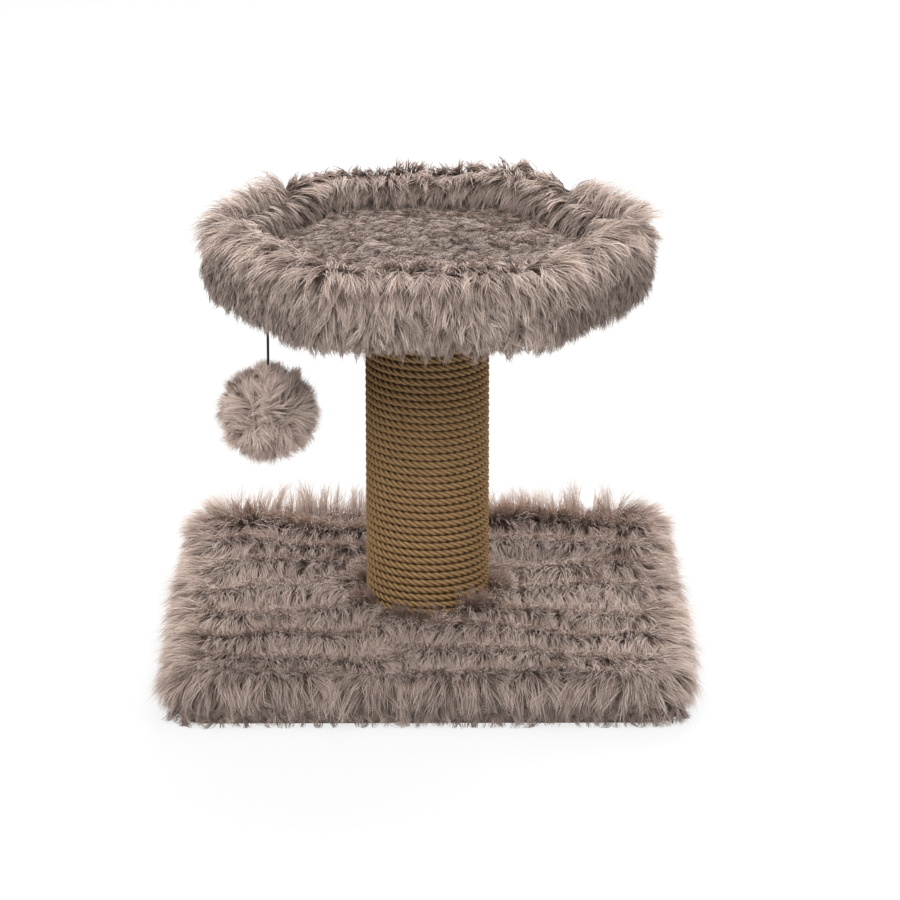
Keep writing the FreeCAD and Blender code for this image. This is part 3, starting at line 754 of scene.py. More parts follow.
def tiers(points):
    """How high a spot stands in its tier: 0 in a valley, 1 on a crest, level near the edges."""
    x, y = points[:, 0], points[:, 1]
    sway = tier_sway * np.sin(2 * np.pi * (x / sway_across + y / sway_along))
    sway = sway + tier_wander * wander(points, 0.06, 1)
    turn = (y - first_valley) / tier_pitch + sway
    within = 1 - (1 - turn % 1.0) ** tier_lean
    height = 0.5 - 0.5 * np.cos(2 * np.pi * within)
    reach = (x ** 6 + y ** 6) ** (1 / 6)
    inner = 1 - ease(reach, base_high.x - 1.5 * level_border, base_high.x - level_border / 2)
    return height * inner + 1 - inner, inner


base_places = read(base_mesh.vertices, "co", 3)
on_top = base_places[:, 2] > base_top - top_band
base_places[on_top, 2] += (tiers(base_places[on_top])[0] - 1) * tier_height
move_vertices(base_mesh, base_places)
print("spots shaped into tiers", on_top.sum())

# %% Where the base's fur grows
SPOT_SPREAD = 0.9
wall_band = 8 * MM
corner_reach = 1.15
well_gap = 1 * MM
well_lip = 12 * MM
bare_foot = 2 * MM
side_fan = 48 * MM
back_fan = 42 * MM
fan_sway = 0.45
fan_curve = 1.6
STEEPEST = -0.4


def face_spots(mesh):
    """A spot on every face of a skin, not quite in its middle, and the face's normal."""
    middle = read(mesh.polygons, "center", 3).astype(float)
    normal = read(mesh.polygons, "normal", 3).astype(float)
    size = np.sqrt(read(mesh.polygons, "area"))
    loose = rng.uniform(-SPOT_SPREAD, SPOT_SPREAD, middle.shape) * size[:, None]
    loose -= (loose * normal).sum(1, keepdims=True) * normal
    return middle + loose, unit(normal)


def base_spots():
    """Spots on the backing that carry fur: its top and its outer walls."""
    root, normal = face_spots(base_mesh)
    from_post = np.hypot(root[:, 0], root[:, 1])
    radial = (root[:, 0] * normal[:, 0] + root[:, 1] * normal[:, 1]) / from_post
    wall = np.abs(root[:, :2]).max(1) > base_half - wall_band
    wall |= from_post > base_half * corner_reach
    top = (root[:, 2] > base_top - tier_height - top_band) & (from_post > post_clear + well_gap)
    top &= (radial > STEEPEST) | (from_post > post_clear + well_lip)
    furry = (top | wall) & (normal[:, 2] > STEEPEST) & (root[:, 2] > base_low.z + bare_foot)
    return root[furry], normal[furry]


def base_edges(root):
    """How near a spot is to an edge, from 0 to 1, and the way out over that edge."""
    fan = side_fan * (1 + fan_sway * wander(root, 0.03, 19))
    back = back_fan * (1 + fan_sway * wander(root, 0.03, 20))
    x = root[:, 0] - np.clip(root[:, 0], fan - base_half, base_half - fan)
    y = root[:, 1] - np.clip(root[:, 1], fan - base_half, base_half - back)
    near = np.c_[x / fan, y / np.where(y > 0, back, fan)]
    edge = np.clip(np.linalg.norm(near, axis=1), 0, 1) ** fan_curve
    return edge, np.c_[unit(near), np.zeros(len(root))]


base_root, base_normal = base_spots()
base_edge_share, base_way_out = base_edges(base_root)
print("base tufts", len(base_root))

# %% How the base's fur lies
# Each recipe is a sum of fields: "even" is there everywhere, and the others where they say.
base_length = 38 * MM
back_row = 110 * MM
edge_loss = 0.8
edge_pull = 1.2
post_push = 0.25
wall_pull, top_pull = 0.3, 0.7
broad_turn = 0.45
fine_turn, edge_turn = 0.4, 0.6
base_recipes = {
    "length": {"even": 0.92, "height": 0.12, "ripple": 0.14, "back": 0.15},
    "lift": {
        "even": 0.46, "back": 0.3, "parting": 0.4, "ripple": 0.14, "post": 0.8,
        "flank": 0.5, "front": 0.2,
    },
    "fall": {
        "even": 0.06, "crest": -0.1, "back": 0.3, "parting": 0.3, "wall": -0.05, "post": 0.5,
    },
    # The tone paints light and shade in places. The coat is set paler than the rim's, and the back
    # paler still, to make up for the bed's shadow on the base. The front wall and its brow are painted
    # darker, as shade under the overhanging pile. Valleys are a touch paler, against their own shade.
    "tone": {
        "even": 0.84, "height": -0.02, "patches": 0.1, "ripple": 0.06, "front": -1.0,
        "brow": -0.4, "back": 0.4,
    },
}
DOWN = np.array([0.0, 0.0, -1.0])
FRONT = np.array([0.0, -1.0, 0.0])


def weigh(recipe, field):
    """The sum of a recipe's fields, each times its weight."""
    total = recipe["even"]
    for name, weight in recipe.items():
        if name != "even":
            total = total + weight * field[name]
    return total


def base_fields(root, normal, edge, out):
    """The parts of the base's coat, each from 0 to 1, and its swells, from -1 to 1."""
    height, level = tiers(root)
    top = ease(normal[:, 2], 0.25, 0.75)
    from_post = np.hypot(root[:, 0], root[:, 1])
    return {
        "top": top,
        "wall": 1 - top,
        "front": (1 - top) * np.maximum(-normal[:, 1], 0),
        "flank": (1 - top) * np.abs(normal[:, 0]),
        "back": top * ease(root[:, 1], base_half - back_row, base_half),
        "post": 1 - ease(from_post, post_reach + 4 * MM, post_reach + 22 * MM),
        "brow": edge * np.maximum(-out[:, 1], 0),
        "parting": top * np.maximum(out[:, 1], 0) * (1 - np.abs(1 - 2 * edge)),
        # The brow only darkens the tone: painted shade over the front edge.
        "height": height,
        "crest": height * level,
        "ripple": wander(root, 0.026, 5),
        "patches": wander(root, 0.05, 6),
    }


def comb_along(normals, pull):
    """The pull laid down on the surface, as a comb lays the pile."""
    return unit(pull - (pull * normals).sum(1, keepdims=True) * normals)


def base_comb(root, normal, top, edge, out):
    """To the front on the top, outwards near the edges, down the walls, and away from the post."""
    pull = FRONT * (1.0 - edge_loss * edge) + out * edge * edge_pull
    radial = np.c_[unit(root[:, :2]), np.zeros(len(root))]
    near = 1 - ease(np.hypot(root[:, 0], root[:, 1]), post_reach + 10 * MM, post_reach + 45 * MM)
    inward = np.minimum((pull * radial).sum(1), 0) - post_push
    pull = pull - radial * (inward * near)[:, None]
    pull = pull * (wall_pull + top_pull * top) + DOWN * (1 - top)
    turn = broad_turn * wander(root, 0.05, 3)
    turn += (fine_turn + edge_turn * edge[:, 0]) * wander(root, 0.016, 4)
    return swing(comb_along(normal, pull), normal, turn)


base_field = base_fields(base_root, base_normal, base_edge_share, base_way_out)
base_combs = base_comb(
    base_root, base_normal, base_field["top"][:, None], base_edge_share[:, None], base_way_out,
)
print("base recipes", ", ".join(base_recipes))

# %% Base fur
fringe_top = 27 * MM
fringe_band = 3 * MM
fringe_length = 14 * MM
flank_fringe = 11 * MM
fringe_share = 0.8
# The fringe's tones run dark: painted shade under the overhanging pile, mottled at random.
shaded_fringe_tones = (-0.4, 0.6)
fringe_lift = 1.2
fringe_fall = -0.5
fringe_curl = 0.9
wall_foot = 6 * MM
hang_below = 4 * MM
side_trim = 0.1
back_trim = 0.4


def base_lengths(root, field, edge, out):
    """Long on the top, shorter over the sides, and no longer than the wall under each spot."""
    length = base_length * weigh(base_recipes["length"], field)
    trim = side_trim + back_trim * ease(root[:, 1], -0.4 * base_half, base_half)
    length *= 1 - edge * trim * np.abs(out[:, 0])
    foot = fringe_top * field["front"] + wall_foot * (1 - field["front"])
    hang = np.maximum(root[:, 2] - foot, 0) + hang_below
    length = np.where(field["top"] < 0.5, np.minimum(length, hang), length)
    fringe = (root[:, 2] < foot + fringe_band) & (field["top"] < 0.3)
    length[fringe] = (fringe_length + flank_fringe * field["flank"])[fringe]
    return length, fringe


def base_tufts(root, normal, comb, field, edge, out):
    """The coat, with a thin curly fringe along the foot of the front."""
    length, fringe = base_lengths(root, field, edge, out)
    lift, fall, tone = [weigh(base_recipes[name], field) for name in ("lift", "fall", "tone")]
    # Painted shade: the fringe takes darker tones than the coat above it.
    tone[fringe] = rng.uniform(*shaded_fringe_tones, fringe.sum())
    lift[fringe] = fringe_lift
    curl = fringe & (field["front"] > 0.5)
    fall[curl] = fringe_fall
    comb[curl] = swing(comb[curl], normal[curl], rng.normal(0, fringe_curl, curl.sum()))
    made = tufts(root, normal, comb, length, lift, fall, tone, droop=0.1)
    return part_of(made, ~curl | (rng.uniform(size=len(root)) < fringe_share))


base_all = base_tufts(
    base_root, base_normal, base_combs, base_field, base_edge_share, base_way_out,
)
settle("base_backing", base_mesh, backing, "stand", "plush", "base_plush_cover")
quarter = (base_all["root"][:, 0] > 0) * 1 + (base_all["root"][:, 1] > 0) * 2
for number, name in enumerate(("front_left", "front_right", "back_left", "back_right")):
    quarter_tufts = part_of(base_all, quarter == number)
    grow("base_fur_" + name, quarter_tufts, "stand", gather=0.5, share=3, tousle=0.1)

# %% [markdown]
# ## Bed rim
# Six padded sides meet at mitred seams. Spinning one profile in six steps gives exactly that
# ring, and cutting its long edges into short ones gives a square for every tuft. The pile
# parts along the crest: outside it falls outwards and down, inside it falls into the well,
# and at each corner it fans out like a crown of hair. It stands up in longer peaks along the
# back, and hangs in a skirt on the flanks. The tone is painted darker on the outer walls, in
# the skirt and down in the well: painted shade, and in the skirt partly a greyer fur too.

# %% Rim profile
SIDES = ("front", "front_right", "back_right", "back", "back_left", "front_left")
panel_low, panel_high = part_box("rim_panel_front")
cover_low, cover_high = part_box("rim_cover_front")
floor_low, floor_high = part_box("bed_floor_board")
rim_padding = 10 * MM
fabric = 1.2 * MM
rim_out = -panel_low.y + rim_padding
rim_in = -panel_high.y - rim_padding
rim_middle = (rim_out + rim_in) / 2
rim_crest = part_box("rim_foam")[1].z + 3 * MM
rim_shoulder = panel_high.z
skirt_foot = cover_low.z + 6 * MM
hem_inner = -cover_high.y
hem_height = floor_low.z - fabric
rim_profile = [
    (hem_inner, hem_height),
    (rim_out - 7 * MM, hem_height),
    (rim_out - 3 * MM, skirt_foot),
    (rim_out, skirt_foot + 6 * MM),
    (rim_out + 2 * MM, (skirt_foot + rim_shoulder) / 2),
    (rim_out - 1 * MM, rim_shoulder),
    (rim_middle + 9 * MM, rim_crest - 3 * MM),
    (rim_middle, rim_crest),
    (rim_middle - 9 * MM, rim_crest - 3 * MM),
    (rim_in, rim_shoulder),
    (rim_in, floor_high.z + 1.5 * MM),
]
print("rim width", round(rim_out - rim_in, 4), "and height", round(rim_crest - hem_height, 4))

# %% Rim backing
LONG_EDGE = 0.1
rim_round = 60 * MM


def six_sided(points):
    """How far out each spot lies, square to the side it belongs to, and that side's number."""
    turns = np.radians(-90 + 60 * np.arange(6))
    reach = points[:, :1] * np.cos(turns) + points[:, 1:2] * np.sin(turns)
    return reach.max(1), reach.argmax(1)


def on_hexagon(points, inradius):
    """The nearest spot on a smaller hexagon: straight across from its sides, or its corner."""
    turn = np.radians(-90 + 60 * six_sided(points)[1])
    across = -points[:, 0] * np.sin(turn) + points[:, 1] * np.cos(turn)
    half = inradius * math.tan(math.pi / 6)
    near = np.clip(across, -half, half)
    x = inradius * np.cos(turn) - near * np.sin(turn)
    y = inradius * np.sin(turn) + near * np.cos(turn)
    return np.c_[x, y]


def soften_corners(mesh, radius):
    """Rounds the six corners of a ring, as stuffing under cloth does."""
    places = read(mesh.vertices, "co", 3)
    nearest = on_hexagon(places, six_sided(places)[0] - radius)
    places[:, :2] = nearest + radius * unit(places[:, :2] - nearest)
    move_vertices(mesh, places)


def corner_numbers(faces):
    return [[v.index for v in face.verts] for face in faces]


def in_fixed_order(bm, faces):
    """The same faces made anew, because spin and extrude order their edges anew in each run."""
    made = bmesh.new()
    corners = [made.verts.new(v.co) for v in bm.verts]
    for face in faces:
        made.faces.new([corners[number] for number in face])
    bm.free()
    return made


def spun_ring(profile, steps, pitch):
    """A profile spun into a ring of flat sides, with its faces cut into even squares."""
    bm = bmesh.new()
    stretch = 1 / math.cos(math.pi / steps)
    line = [bm.verts.new((radius * stretch, 0, height)) for radius, height in profile]
    edges = [bm.edges.new(pair) for pair in zip(line, line[1:])]
    for edge in list(edges):
        cuts = round(edge.calc_length() / pitch) - 1
        if cuts > 0:
            bmesh.ops.subdivide_edges(bm, edges=[edge], cuts=cuts)
    bmesh.ops.spin(
        bm, geom=list(bm.verts) + list(bm.edges), cent=(0, 0, 0), axis=(0, 0, 1),
        angle=2 * math.pi, steps=steps, use_merge=True,
    )
    bmesh.ops.remove_doubles(bm, verts=bm.verts, dist=1e-6)
    bm.verts.index_update()
    bm = in_fixed_order(bm, sorted(corner_numbers(bm.faces)))
    level = [e for e in bm.edges if abs(e.verts[0].co.z - e.verts[1].co.z) < 1e-7]
    around = [e for e in level if e.calc_length() > LONG_EDGE]
    cuts = round(max(e.calc_length() for e in around) / pitch)
    bmesh.ops.subdivide_edges(bm, edges=around, cuts=cuts, use_grid_fill=True)
    bmesh.ops.recalc_face_normals(bm, faces=bm.faces)
    ranked = sorted(bm.faces, key=lambda face: face.calc_center_median().to_tuple(5))
    place = {face: number for number, face in enumerate(ranked)}
    bm.faces.sort(key=place.get)
    mesh = bpy.data.meshes.new("rim_backing")
    bm.to_mesh(mesh)
    bm.free()
    return mesh


rim_mesh = spun_ring(rim_profile, len(SIDES), TUFT_PITCH)
soften_corners(rim_mesh, rim_round)
print("rim backing faces", len(rim_mesh.polygons))

# %% How the rim's fur lies
rim_fan = 40 * MM
rim_outwards = 0.75
rim_broad_turn, rim_fine_turn = 0.7, 0.45
parting_in = 8 * MM
parting_shift = 24 * MM
parting_wave = 5 * MM
lower_band = 384 * MM
whorl_place = (188 * MM, 15 * MM)
rim_recipes = {
    "lift": {
        "even": 0.5, "crest": 0.17, "ripple": 0.3, "inside": -0.1, "whorl": 0.5, "tufty": 0.4,
        "side": 0.25, "rear": 0.15, "peaks": 0.8,
    },
    "fall": {"even": -0.05, "crest": -0.2, "swirl": 0.2, "whorl": 0.5, "peaks": 0.8},
    # The tone paints shade: darker on the outer walls, in the lower band and skirt under the crest's
    # overhang, and down in the well inside the bed. The lower band and skirt are partly a greyer fur as
    # well.
    "tone": {
        "even": 0.78, "low": -0.25, "wall": -0.42, "well": -0.9, "deep": -0.6,
        "patches": 0.15, "ripple": 0.1, "skirt": -0.3,
    },
}


def rim_spots():
    """Spots on the ring that carry fur, how far out they lie, and their side's number."""
    root, normal = face_spots(rim_mesh)
    reach, side = six_sided(root)
    furry = (root[:, 2] > skirt_foot - 1 * MM) & (reach > rim_in - 5 * MM)
    furry &= ~((normal[:, 2] < -0.5) & (reach < rim_out - 4 * MM))
    return root[furry], normal[furry], reach[furry], side[furry]


def rim_comb(root, normal, outer, swirl):
    """Away from the parting and down, fanned out at the corners."""
    away = unit(root[:, :2] - on_hexagon(root, np.full(len(root), rim_middle - rim_fan)))
    away = np.c_[away, np.zeros(len(root))] * np.where(outer, 1, -1)[:, None]
    comb = comb_along(normal, rim_outwards * away + DOWN)
    return swing(comb, normal, rim_broad_turn * swirl + rim_fine_turn * wander(root, 0.015, 9))


def rim_fields(root, normal, outer):
    """The parts of the rim's coat, each from 0 to 1, and its swells, from -1 to 1."""
    crest = ease(normal[:, 2], 0.3, 0.9)
    inside = ~outer * 1.0
    wall = outer * (1 - crest)
    flank = 1 - ease(-normal[:, 1], 0.55, 0.9)
    low = outer * ease(-root[:, 2], -lower_band - 8 * MM, -lower_band + 4 * MM)
    rear = crest * ease(root[:, 1], 60 * MM, 130 * MM)
    from_whorl = np.hypot(root[:, 0] - whorl_place[0], root[:, 1] - whorl_place[1])
    return {
        "crest": crest,
        "inside": inside,
        "wall": wall,
        "flank": flank,
        "side": flank * wall,
        "low": low,
        "skirt": low * flank,
        # The well and deep fields only darken the tone: painted shade inside the bed.
        "well": inside * (1 - crest),
        "deep": inside * ease(-root[:, 2], -rim_crest, 25 * MM - rim_crest),
        "rear": rear,
        "peaks": rear * np.maximum(wander(root, 0.05, 21), 0),
        "whorl": outer * (1 - ease(from_whorl, 10 * MM, 60 * MM)),
        "tufty": crest * wander(root, 0.035, 16),
        "swirl": wander(root, 0.045, 8),
        "ripple": wander(root, 0.028, 10),
        "patches": wander(root, 0.05, 11),
    }


rim_root, rim_normal, rim_reach, rim_side = rim_spots()
at_back = ease(rim_root[:, 1], 80 * MM, 140 * MM)
rim_parting = rim_middle - parting_in + parting_shift * at_back
rim_outer = rim_reach > rim_parting + parting_wave * wander(rim_root, 0.04, 7)
rim_field = rim_fields(rim_root, rim_normal, rim_outer)
rim_combs = rim_comb(rim_root, rim_normal, rim_outer, rim_field["swirl"])
print("rim tufts", len(rim_root), "of which outside the parting", rim_outer.sum())

# %% Rim fur
rim_length = 42 * MM
fur_foot = 351 * MM
front_hang = 7
flank_hang = 18
peak_length = 26 * MM
rim_ripple = 0.2
wall_trim = 0.42
flank_wall_trim = 0.1
inside_trim = 0.4
front_trim = 0.12
skirt_trim = 0.1


def rim_lengths(root, field):
    """Long on the crest, trimmed on the walls and inside, and in peaks along the back."""
    flank = field["flank"]
    length = rim_length * (1 + rim_ripple * field["ripple"])
    length = length * (1 - (wall_trim + flank_wall_trim * flank) * field["wall"])
    length = length * (1 - inside_trim * field["inside"])
    length *= 1 - front_trim + front_trim * flank
    hang = np.maximum(root[:, 2] - fur_foot, 0) + (front_hang + flank_hang * flank) * MM
    length = np.minimum(length, hang) + peak_length * field["peaks"]
    return length * (1 - skirt_trim * field["skirt"])


rim_lie = [weigh(rim_recipes[name], rim_field) for name in ("lift", "fall", "tone")]
rim_all = tufts(
    rim_root, rim_normal, rim_combs, rim_lengths(rim_root, rim_field), *rim_lie, droop=0.1,
)
rim = settle("rim_backing", rim_mesh, backing, "stand", "plush", "rim_foam")
thick = rim.modifiers.new("fabric", "SOLIDIFY")
thick.thickness = fabric
thick.offset = -1.0
for number, name in enumerate(SIDES):
    grow(
        "rim_fur_" + name, part_of(rim_all, rim_side == number), "stand", ("rim_cover_" + name,),
        per_tuft=10, width=0.85 * MM, spread=2.3 * MM, gather=1.0, share=2, tousle=0.4,
    )

# %% [markdown]
# ## Cushion
# The cushion is two layers of cloth sewn together round the edge and stuffed. A grid cut to a
# hexagon with short corners is extruded to give both layers, and a short cloth simulation
# blows it up from inside as the filling does, while the seam is held in its place. A sculpted
# lens would look too even; the simulation leaves a soft swell that falls off to the seam.
# A short pile covers it, combed to the front.

# %% Cushion before stuffing
CORNER_REACH = 1.11
GRID_SQUARES = 64
cushion_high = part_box("cushion_top_cover")[1]
cushion_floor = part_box("cushion_bottom_cover")[0].z
cushion_rest = cushion_floor + 0.5 * MM
cushion_inradius = cushion_high.y - 3 * MM
cushion_edge = 9 * MM


def seam_place(place):
    return round(place.x, 6), round(place.y, 6)


def flat_cushion():
    """Two hexagonal layers, a little apart, joined round the edge."""
    bm = bmesh.new()
    reach = cushion_inradius / math.cos(math.pi / 6)
    bmesh.ops.create_grid(bm, x_segments=GRID_SQUARES, y_segments=GRID_SQUARES, size=reach)
    for number in range(12):
        turn = math.radians(-90 + 30 * number)
        facing = Vector((math.cos(turn), math.sin(turn), 0))
        far = cushion_inradius * (CORNER_REACH if number % 2 else 1.0)
        bmesh.ops.bisect_plane(
            bm, geom=bm.verts[:] + bm.edges[:] + bm.faces[:], dist=1e-6,
            plane_co=facing * far, plane_no=facing, clear_outer=True,
        )
    outline = {seam_place(v.co) for v in bm.verts if v.is_boundary}
    raised = bmesh.ops.extrude_face_region(bm, geom=bm.faces[:])["geom"]
    verts = [item for item in raised if isinstance(item, bmesh.types.BMVert)]
    bmesh.ops.translate(bm, verts=verts, vec=(0, 0, cushion_edge))
    bmesh.ops.recalc_face_normals(bm, faces=bm.faces)
    bmesh.ops.translate(bm, verts=bm.verts, vec=(0, 0, cushion_rest))
    bm.verts.index_update()
    layers = [f for f in bm.faces if len({round(v.co.z, 6) for v in f.verts}) == 1]
    sides = [f for f in bm.faces if len({round(v.co.z, 6) for v in f.verts}) > 1]
    bm = in_fixed_order(bm, corner_numbers(layers) + sorted(corner_numbers(sides)))
    made = new_object("cushion_cover", bm)
    sewn = [v.index for v in made.data.vertices if seam_place(v.co) in outline]
    made.vertex_groups.new(name="seam").add(sewn, 1.0, "REPLACE")
    return made


flat_cover = flat_cushion()
print("cushion faces before stuffing", len(flat_cover.data.polygons))

# %% Stuff the cushion
CUSHION_FRAMES = 20
cushion_rise = 22 * MM


def blow_up(made):
    """Pressure inside the cover, as the stuffing gives it, until the cloth settles."""
    cloth = made.modifiers.new("stuffing", "CLOTH")
    cloth.settings.quality = 6
    cloth.settings.vertex_group_mass = "seam"
    cloth.settings.mass = 0.15
    cloth.settings.tension_stiffness = 12
    cloth.settings.compression_stiffness = 12
    cloth.settings.bending_stiffness = 0.6
    cloth.settings.use_pressure = True
    cloth.settings.uniform_pressure_force = 9.0
    cloth.settings.effector_weights.gravity = 0.0
    cloth.point_cache.frame_end = CUSHION_FRAMES
    for step in range(1, CUSHION_FRAMES + 1):
        scene.frame_set(step)


def stuffed_mesh(made):
    """The cover blown up, set down on its floor, and kept within its room."""
    blow_up(made)
    mesh = shaped_mesh(made)
    scene.frame_set(1)
    places = read(mesh.vertices, "co", 3)
    calm = min(1, cushion_rise / np.ptp(places[:, 2]))
    places[:, 2] = cushion_rest + (places[:, 2] - places[:, 2].min()) * calm
    reach = six_sided(places)[0]
    shrink = np.minimum(1, cushion_inradius / np.maximum(reach, 1e-6))
    places[:, :2] *= shrink[:, None]
    move_vertices(mesh, places)
    mesh.polygons.foreach_set("use_smooth", np.ones(len(mesh.polygons), bool))
    return mesh


cushion_cover = stuffed_mesh(flat_cover)
cloth_finish = grained(
    "cushion_backing", "TexVoronoi", [(0.1, (0.2, 0.16, 0.14)), (0.7, (0.33, 0.27, 0.24))],
    roughness=0.92, specular=0.12, relief=0.4, depth=0.2 * MM, output="Distance", Scale=900.0,
)
cushion = settle(
    "cushion_cover", cushion_cover, cloth_finish, "cushion", "cushion_cloth",
    "cushion_top_cover", "cushion_bottom_cover", "cushion_filling",
)
print("cushion height", round(max(v.co.z for v in cushion_cover.vertices) - cushion_floor, 4))

# %% Cushion fur
cushion_length = 16 * MM
cushion_pull = (-0.35, -1.0, 0.0)


def cushion_tufts():
    root, normal = face_spots(cushion_cover)
    furry = normal[:, 2] > -0.2
    root, normal = root[furry], normal[furry]
    comb = comb_along(normal, np.tile(cushion_pull, (len(root), 1)))
    comb = swing(comb, normal, 0.4 * wander(root, 0.04, 12) + 0.3 * wander(root, 0.014, 13))
    bumps = wander(root, 0.02, 14)
    patches = wander(root, 0.05, 15)
    return tufts(
        root, normal, comb, length=cushion_length * (1 + 0.2 * bumps), lift=0.5 + 0.2 * bumps,
        fall=0.1 + 0.2 * bumps, tone=0.6 + 0.1 * bumps + 0.12 * patches, droop=0.05,
    )


grow(
    "cushion_fur", cushion_tufts(), "cushion", per_tuft=11,
    width=0.5 * MM, spread=1.8 * MM, gather=0.25, share=7, tousle=0.06,
)

# %% [markdown]
# ## Rope
# Three strands twisted into a rope, then wound up the post in touching turns. A curve along
# the winding carries a profile of three lobes, and tilting the profile as it goes gives the
# twist. Modelling each strand by hand would take three more curves for the same look.

# %% Rope profile
LOBES = 3
LOBE_POINTS = 5
LOBE_ARC = 220
lobe_radius = 1.72 * MM
lobe_centre = 1.9 * MM


def rope_profile():
    """Three lobes round a middle, as one closed line."""
    made = bpy.data.curves.new("rope_profile", "CURVE")
    made.dimensions = "2D"
    spline = made.splines.new("POLY")
    spline.points.add(LOBES * LOBE_POINTS - 1)
    for lobe in range(LOBES):
        facing = 2 * math.pi * lobe / LOBES
        for step in range(LOBE_POINTS):
            turn = facing + math.radians(-LOBE_ARC / 2 + LOBE_ARC * step / (LOBE_POINTS - 1))
            x = lobe_centre * math.cos(facing) + lobe_radius * math.cos(turn)
            y = lobe_centre * math.sin(facing) + lobe_radius * math.sin(turn)
            spline.points[lobe * LOBE_POINTS + step].co = (x, y, 0, 1)
    spline.use_cyclic_u = True
    profile = bpy.data.objects.new("rope_profile", made)
    scene.collection.objects.link(profile)
    return profile


profile = rope_profile()
print("rope profile points", len(profile.data.splines[0].points))

# %% Rope finish
STRAND_FIBRES = (26.0, 46.0, 1.0)
# The grooves between the three strands are painted darker than the ridges: painted shade in the
# creases.
groove_shade = (0.42, 0.42, 0.42)
ridge = (1, 1, 1)


def rope_material():
    made, tree, shader = plain_material("twisted_rope", 0.78, 0.3)
    place = add(tree, "UVMap")
    place.uv_map = "OFBake"
    fibres = add(tree, "Mapping", Vector=place.outputs["UV"], Scale=STRAND_FIBRES)
    streak = add(
        tree, "TexNoise", Vector=fibres.outputs["Vector"], Scale=1.0, Detail=5.0, Roughness=0.65,
    )
    split = add(tree, "SeparateXYZ", Vector=place.outputs["UV"])
    strands = calculate(tree, "MULTIPLY", split.outputs["Y"], float(LOBES))
    within = calculate(tree, "FRACT", strands)
    # Painted shade: darker in the grooves between the strands.
    shade = ramp(tree, within, (0.0, groove_shade), (0.3, ridge), (0.55, ridge), (0.86, groove_shade))
    fibre = ramp(
        tree, streak.outputs["Fac"],
        (0.28, (0.16, 0.088, 0.034)), (0.5, (0.36, 0.215, 0.092)), (0.72, (0.56, 0.37, 0.185)),
    )
    mixed = add(tree, "MixRGB", Fac=1.0, Color1=fibre, Color2=shade)
    mixed.blend_type = "MULTIPLY"
    join(tree, mixed.outputs[0], shader.inputs["Base Color"])
    return made


rope_finish = rope_material()
print("rope finish", rope_finish.name)

# %% Rope
ROPE_TURNS = 22
RINGS_PER_TURN = 148
TILE_RINGS = 130
rope_diameter = 6.9 * MM
rope_lay = 22 * MM
rope_low, rope_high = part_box("post_rope_lower")
rope_start = rope_low.z + rope_diameter / 2
rope_pitch = (rope_high.z - rope_low.z - rope_diameter) / ROPE_TURNS
rope_radius = rope_high.x - rope_diameter / 2


def rope_line(name, low, high):
    """The winding between two heights, with the profile turning along it."""
    first, last = low + rope_diameter / 2, high - rope_diameter / 2
    rings = round((last - first) / rope_pitch * RINGS_PER_TURN) + 1
    made = bpy.data.curves.new(name, "CURVE")
    made.dimensions = "3D"
    made.twist_mode = "Z_UP"
    made.bevel_mode = "OBJECT"
    made.bevel_object = profile
    made.use_fill_caps = True
    spline = made.splines.new("POLY")
    spline.points.add(rings - 1)
    height = np.linspace(first, last, rings)
    turn = math.pi / 2 - 2 * math.pi * (height - rope_start) / rope_pitch
    spot = np.c_[rope_radius * np.cos(turn), rope_radius * np.sin(turn), height, np.ones(rings)]
    spline.points.foreach_set("co", spot.ravel())
    step = math.hypot(2 * math.pi * rope_radius, rope_pitch) / RINGS_PER_TURN
    spline.points.foreach_set("tilt", np.arange(rings) * step / rope_lay * 2 * math.pi)
    line = bpy.data.objects.new(name, made)
    scene.collection.objects.link(line)
    return line


def rope_map(mesh):
    """Its own UV map: along the rope in a repeating length, and round its three strands."""
    around = LOBES * LOBE_POINTS
    corners = read(mesh.loops, "vertex_index", kind=np.int32)
    starts = read(mesh.polygons, "loop_start", kind=np.int32)
    sizes = read(mesh.polygons, "loop_total", kind=np.int32)
    ring, spot = np.divmod(corners, around)
    first_ring = np.repeat(np.minimum.reduceat(ring, starts), sizes)
    far = np.repeat(np.maximum.reduceat(spot, starts) - np.minimum.reduceat(spot, starts), sizes)
    spot = np.where((far > 2) & (spot < 2), spot + around, spot)
    u = (first_ring % TILE_RINGS + ring - first_ring) / TILE_RINGS
    uv = mesh.uv_layers.new(name="OFBake")
    uv.uv.foreach_set("vector", np.c_[u, spot / around].astype(np.float32).ravel())


for name in ("post_rope_lower", "post_rope_upper"):
    low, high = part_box(name)
    rope = shaped_mesh(rope_line(name + "_strands", low.z, high.z))
    rope.polygons.foreach_set("use_smooth", np.ones(len(rope.polygons), bool))
    for layer in list(rope.uv_layers):
        rope.uv_layers.remove(layer)
    rope_map(rope)
    settle(name + "_strands", rope, rope_finish, "stand", "rope", name)
    print(name, len(rope.polygons), "faces")
bpy.data.objects.remove(profile)

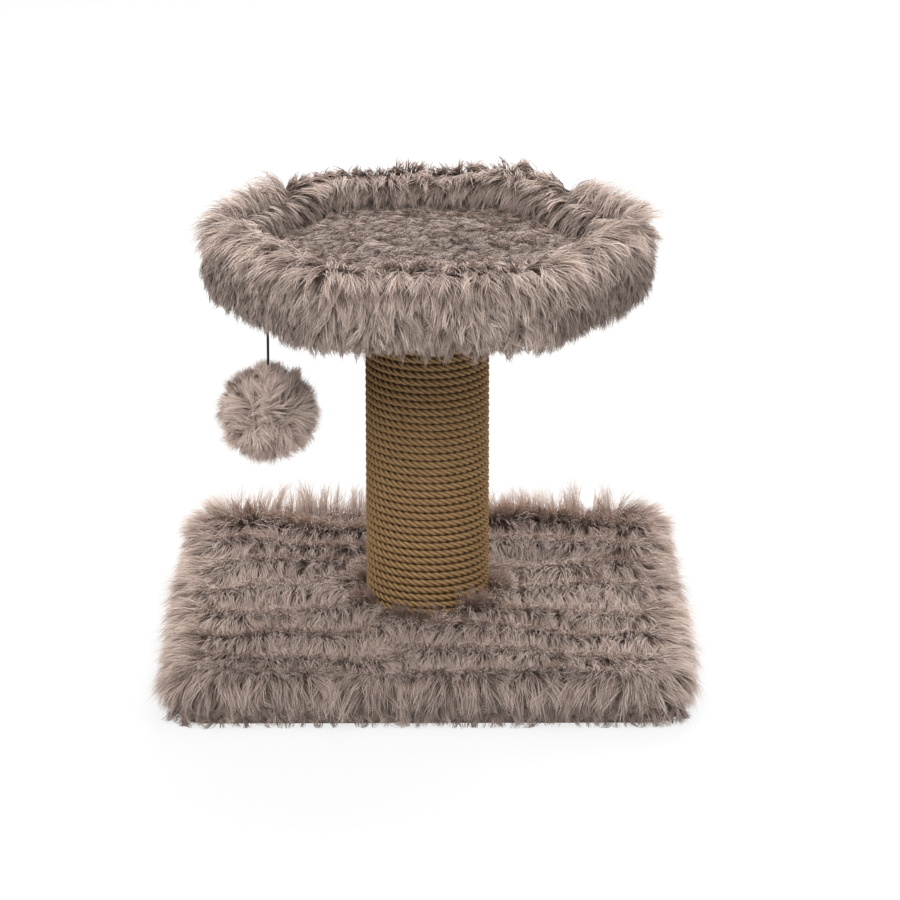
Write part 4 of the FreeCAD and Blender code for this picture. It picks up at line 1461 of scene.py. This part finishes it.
# %% [markdown]
# ## Pompom
# The toy is a small stuffed ball in the same fur, longer at the two upper corners and at the
# foot. The pile flows away from a few partings that are spread over the ball, and where two
# flows meet it stands up in a tuft, which is how real pile looks after some handling.

# %% Pompom ball
pompom_low, pompom_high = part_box("pompom_cover")
pompom_height = 246 * MM
pompom_middle = (pompom_low + pompom_high) / 2
pompom_middle.z = pompom_height
pompom_core = 30 * MM
pompom_pitch = 3.2 * MM


def ball_mesh():
    bm = bmesh.new()
    bmesh.ops.create_uvsphere(bm, u_segments=48, v_segments=24, radius=pompom_core)
    bmesh.ops.translate(bm, verts=bm.verts, vec=pompom_middle)
    return even_squares(new_object("pompom_ball", bm), pompom_pitch)


ball = ball_mesh()
print("pompom ball faces", len(ball.polygons))

# %% Pompom fur
pompom_length = 27 * MM
pompom_ripple = 3 * MM
corner_length = 5 * MM
pompom_partings = unit(np.array([
    (-0.4, -0.9, 0.25), (0.4, -0.9, 0.25), (0.0, -0.9, -0.4),
    (-0.6, 0.8, 0.0), (0.6, 0.8, 0.0),
]))
pompom_corners = unit(np.array([(-0.75, -0.1, 0.7), (0.75, -0.1, 0.7), (0.0, 0.0, -1.0)]))


def pompom_tufts():
    root = face_spots(ball)[0]
    out = unit(root - np.array(pompom_middle))
    near = (out @ pompom_partings.T).argmax(1)
    comb = comb_along(out, out - pompom_partings[near] + 0.1 * rng.normal(size=out.shape))
    ripple = wander(root, 0.012, 17)
    comb = swing(comb, out, 0.6 * ripple)
    corner = ease((out @ pompom_corners.T).max(1), 0.85, 0.99)
    return tufts(
        root, out, comb, length=pompom_length + corner_length * corner + pompom_ripple * ripple,
        lift=0.75 + 0.3 * ripple, fall=0.2 + 0.3 * ripple,
        # The tone is set pale, above the bed's fur, to make up for the shadow that the bed casts on the
        # ball: painted light.
        tone=0.88 + 0.3 * wander(root, 0.015, 18), droop=0.08,
    )


pompom_fur = pompom_tufts()
pompom = settle("pompom_ball", ball, backing, "toy", "plush", "pompom_cover", "pompom_filling")
grow(
    "pompom_fur", pompom_fur, "toy", per_tuft=12,
    width=0.7 * MM, spread=1.6 * MM, gather=0.9, share=4, tousle=0.45,
)

# %% [markdown]
# ## Size
# The fur stands a little beyond the CAD covers, as real pile does.

# %% Size
low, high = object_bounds()
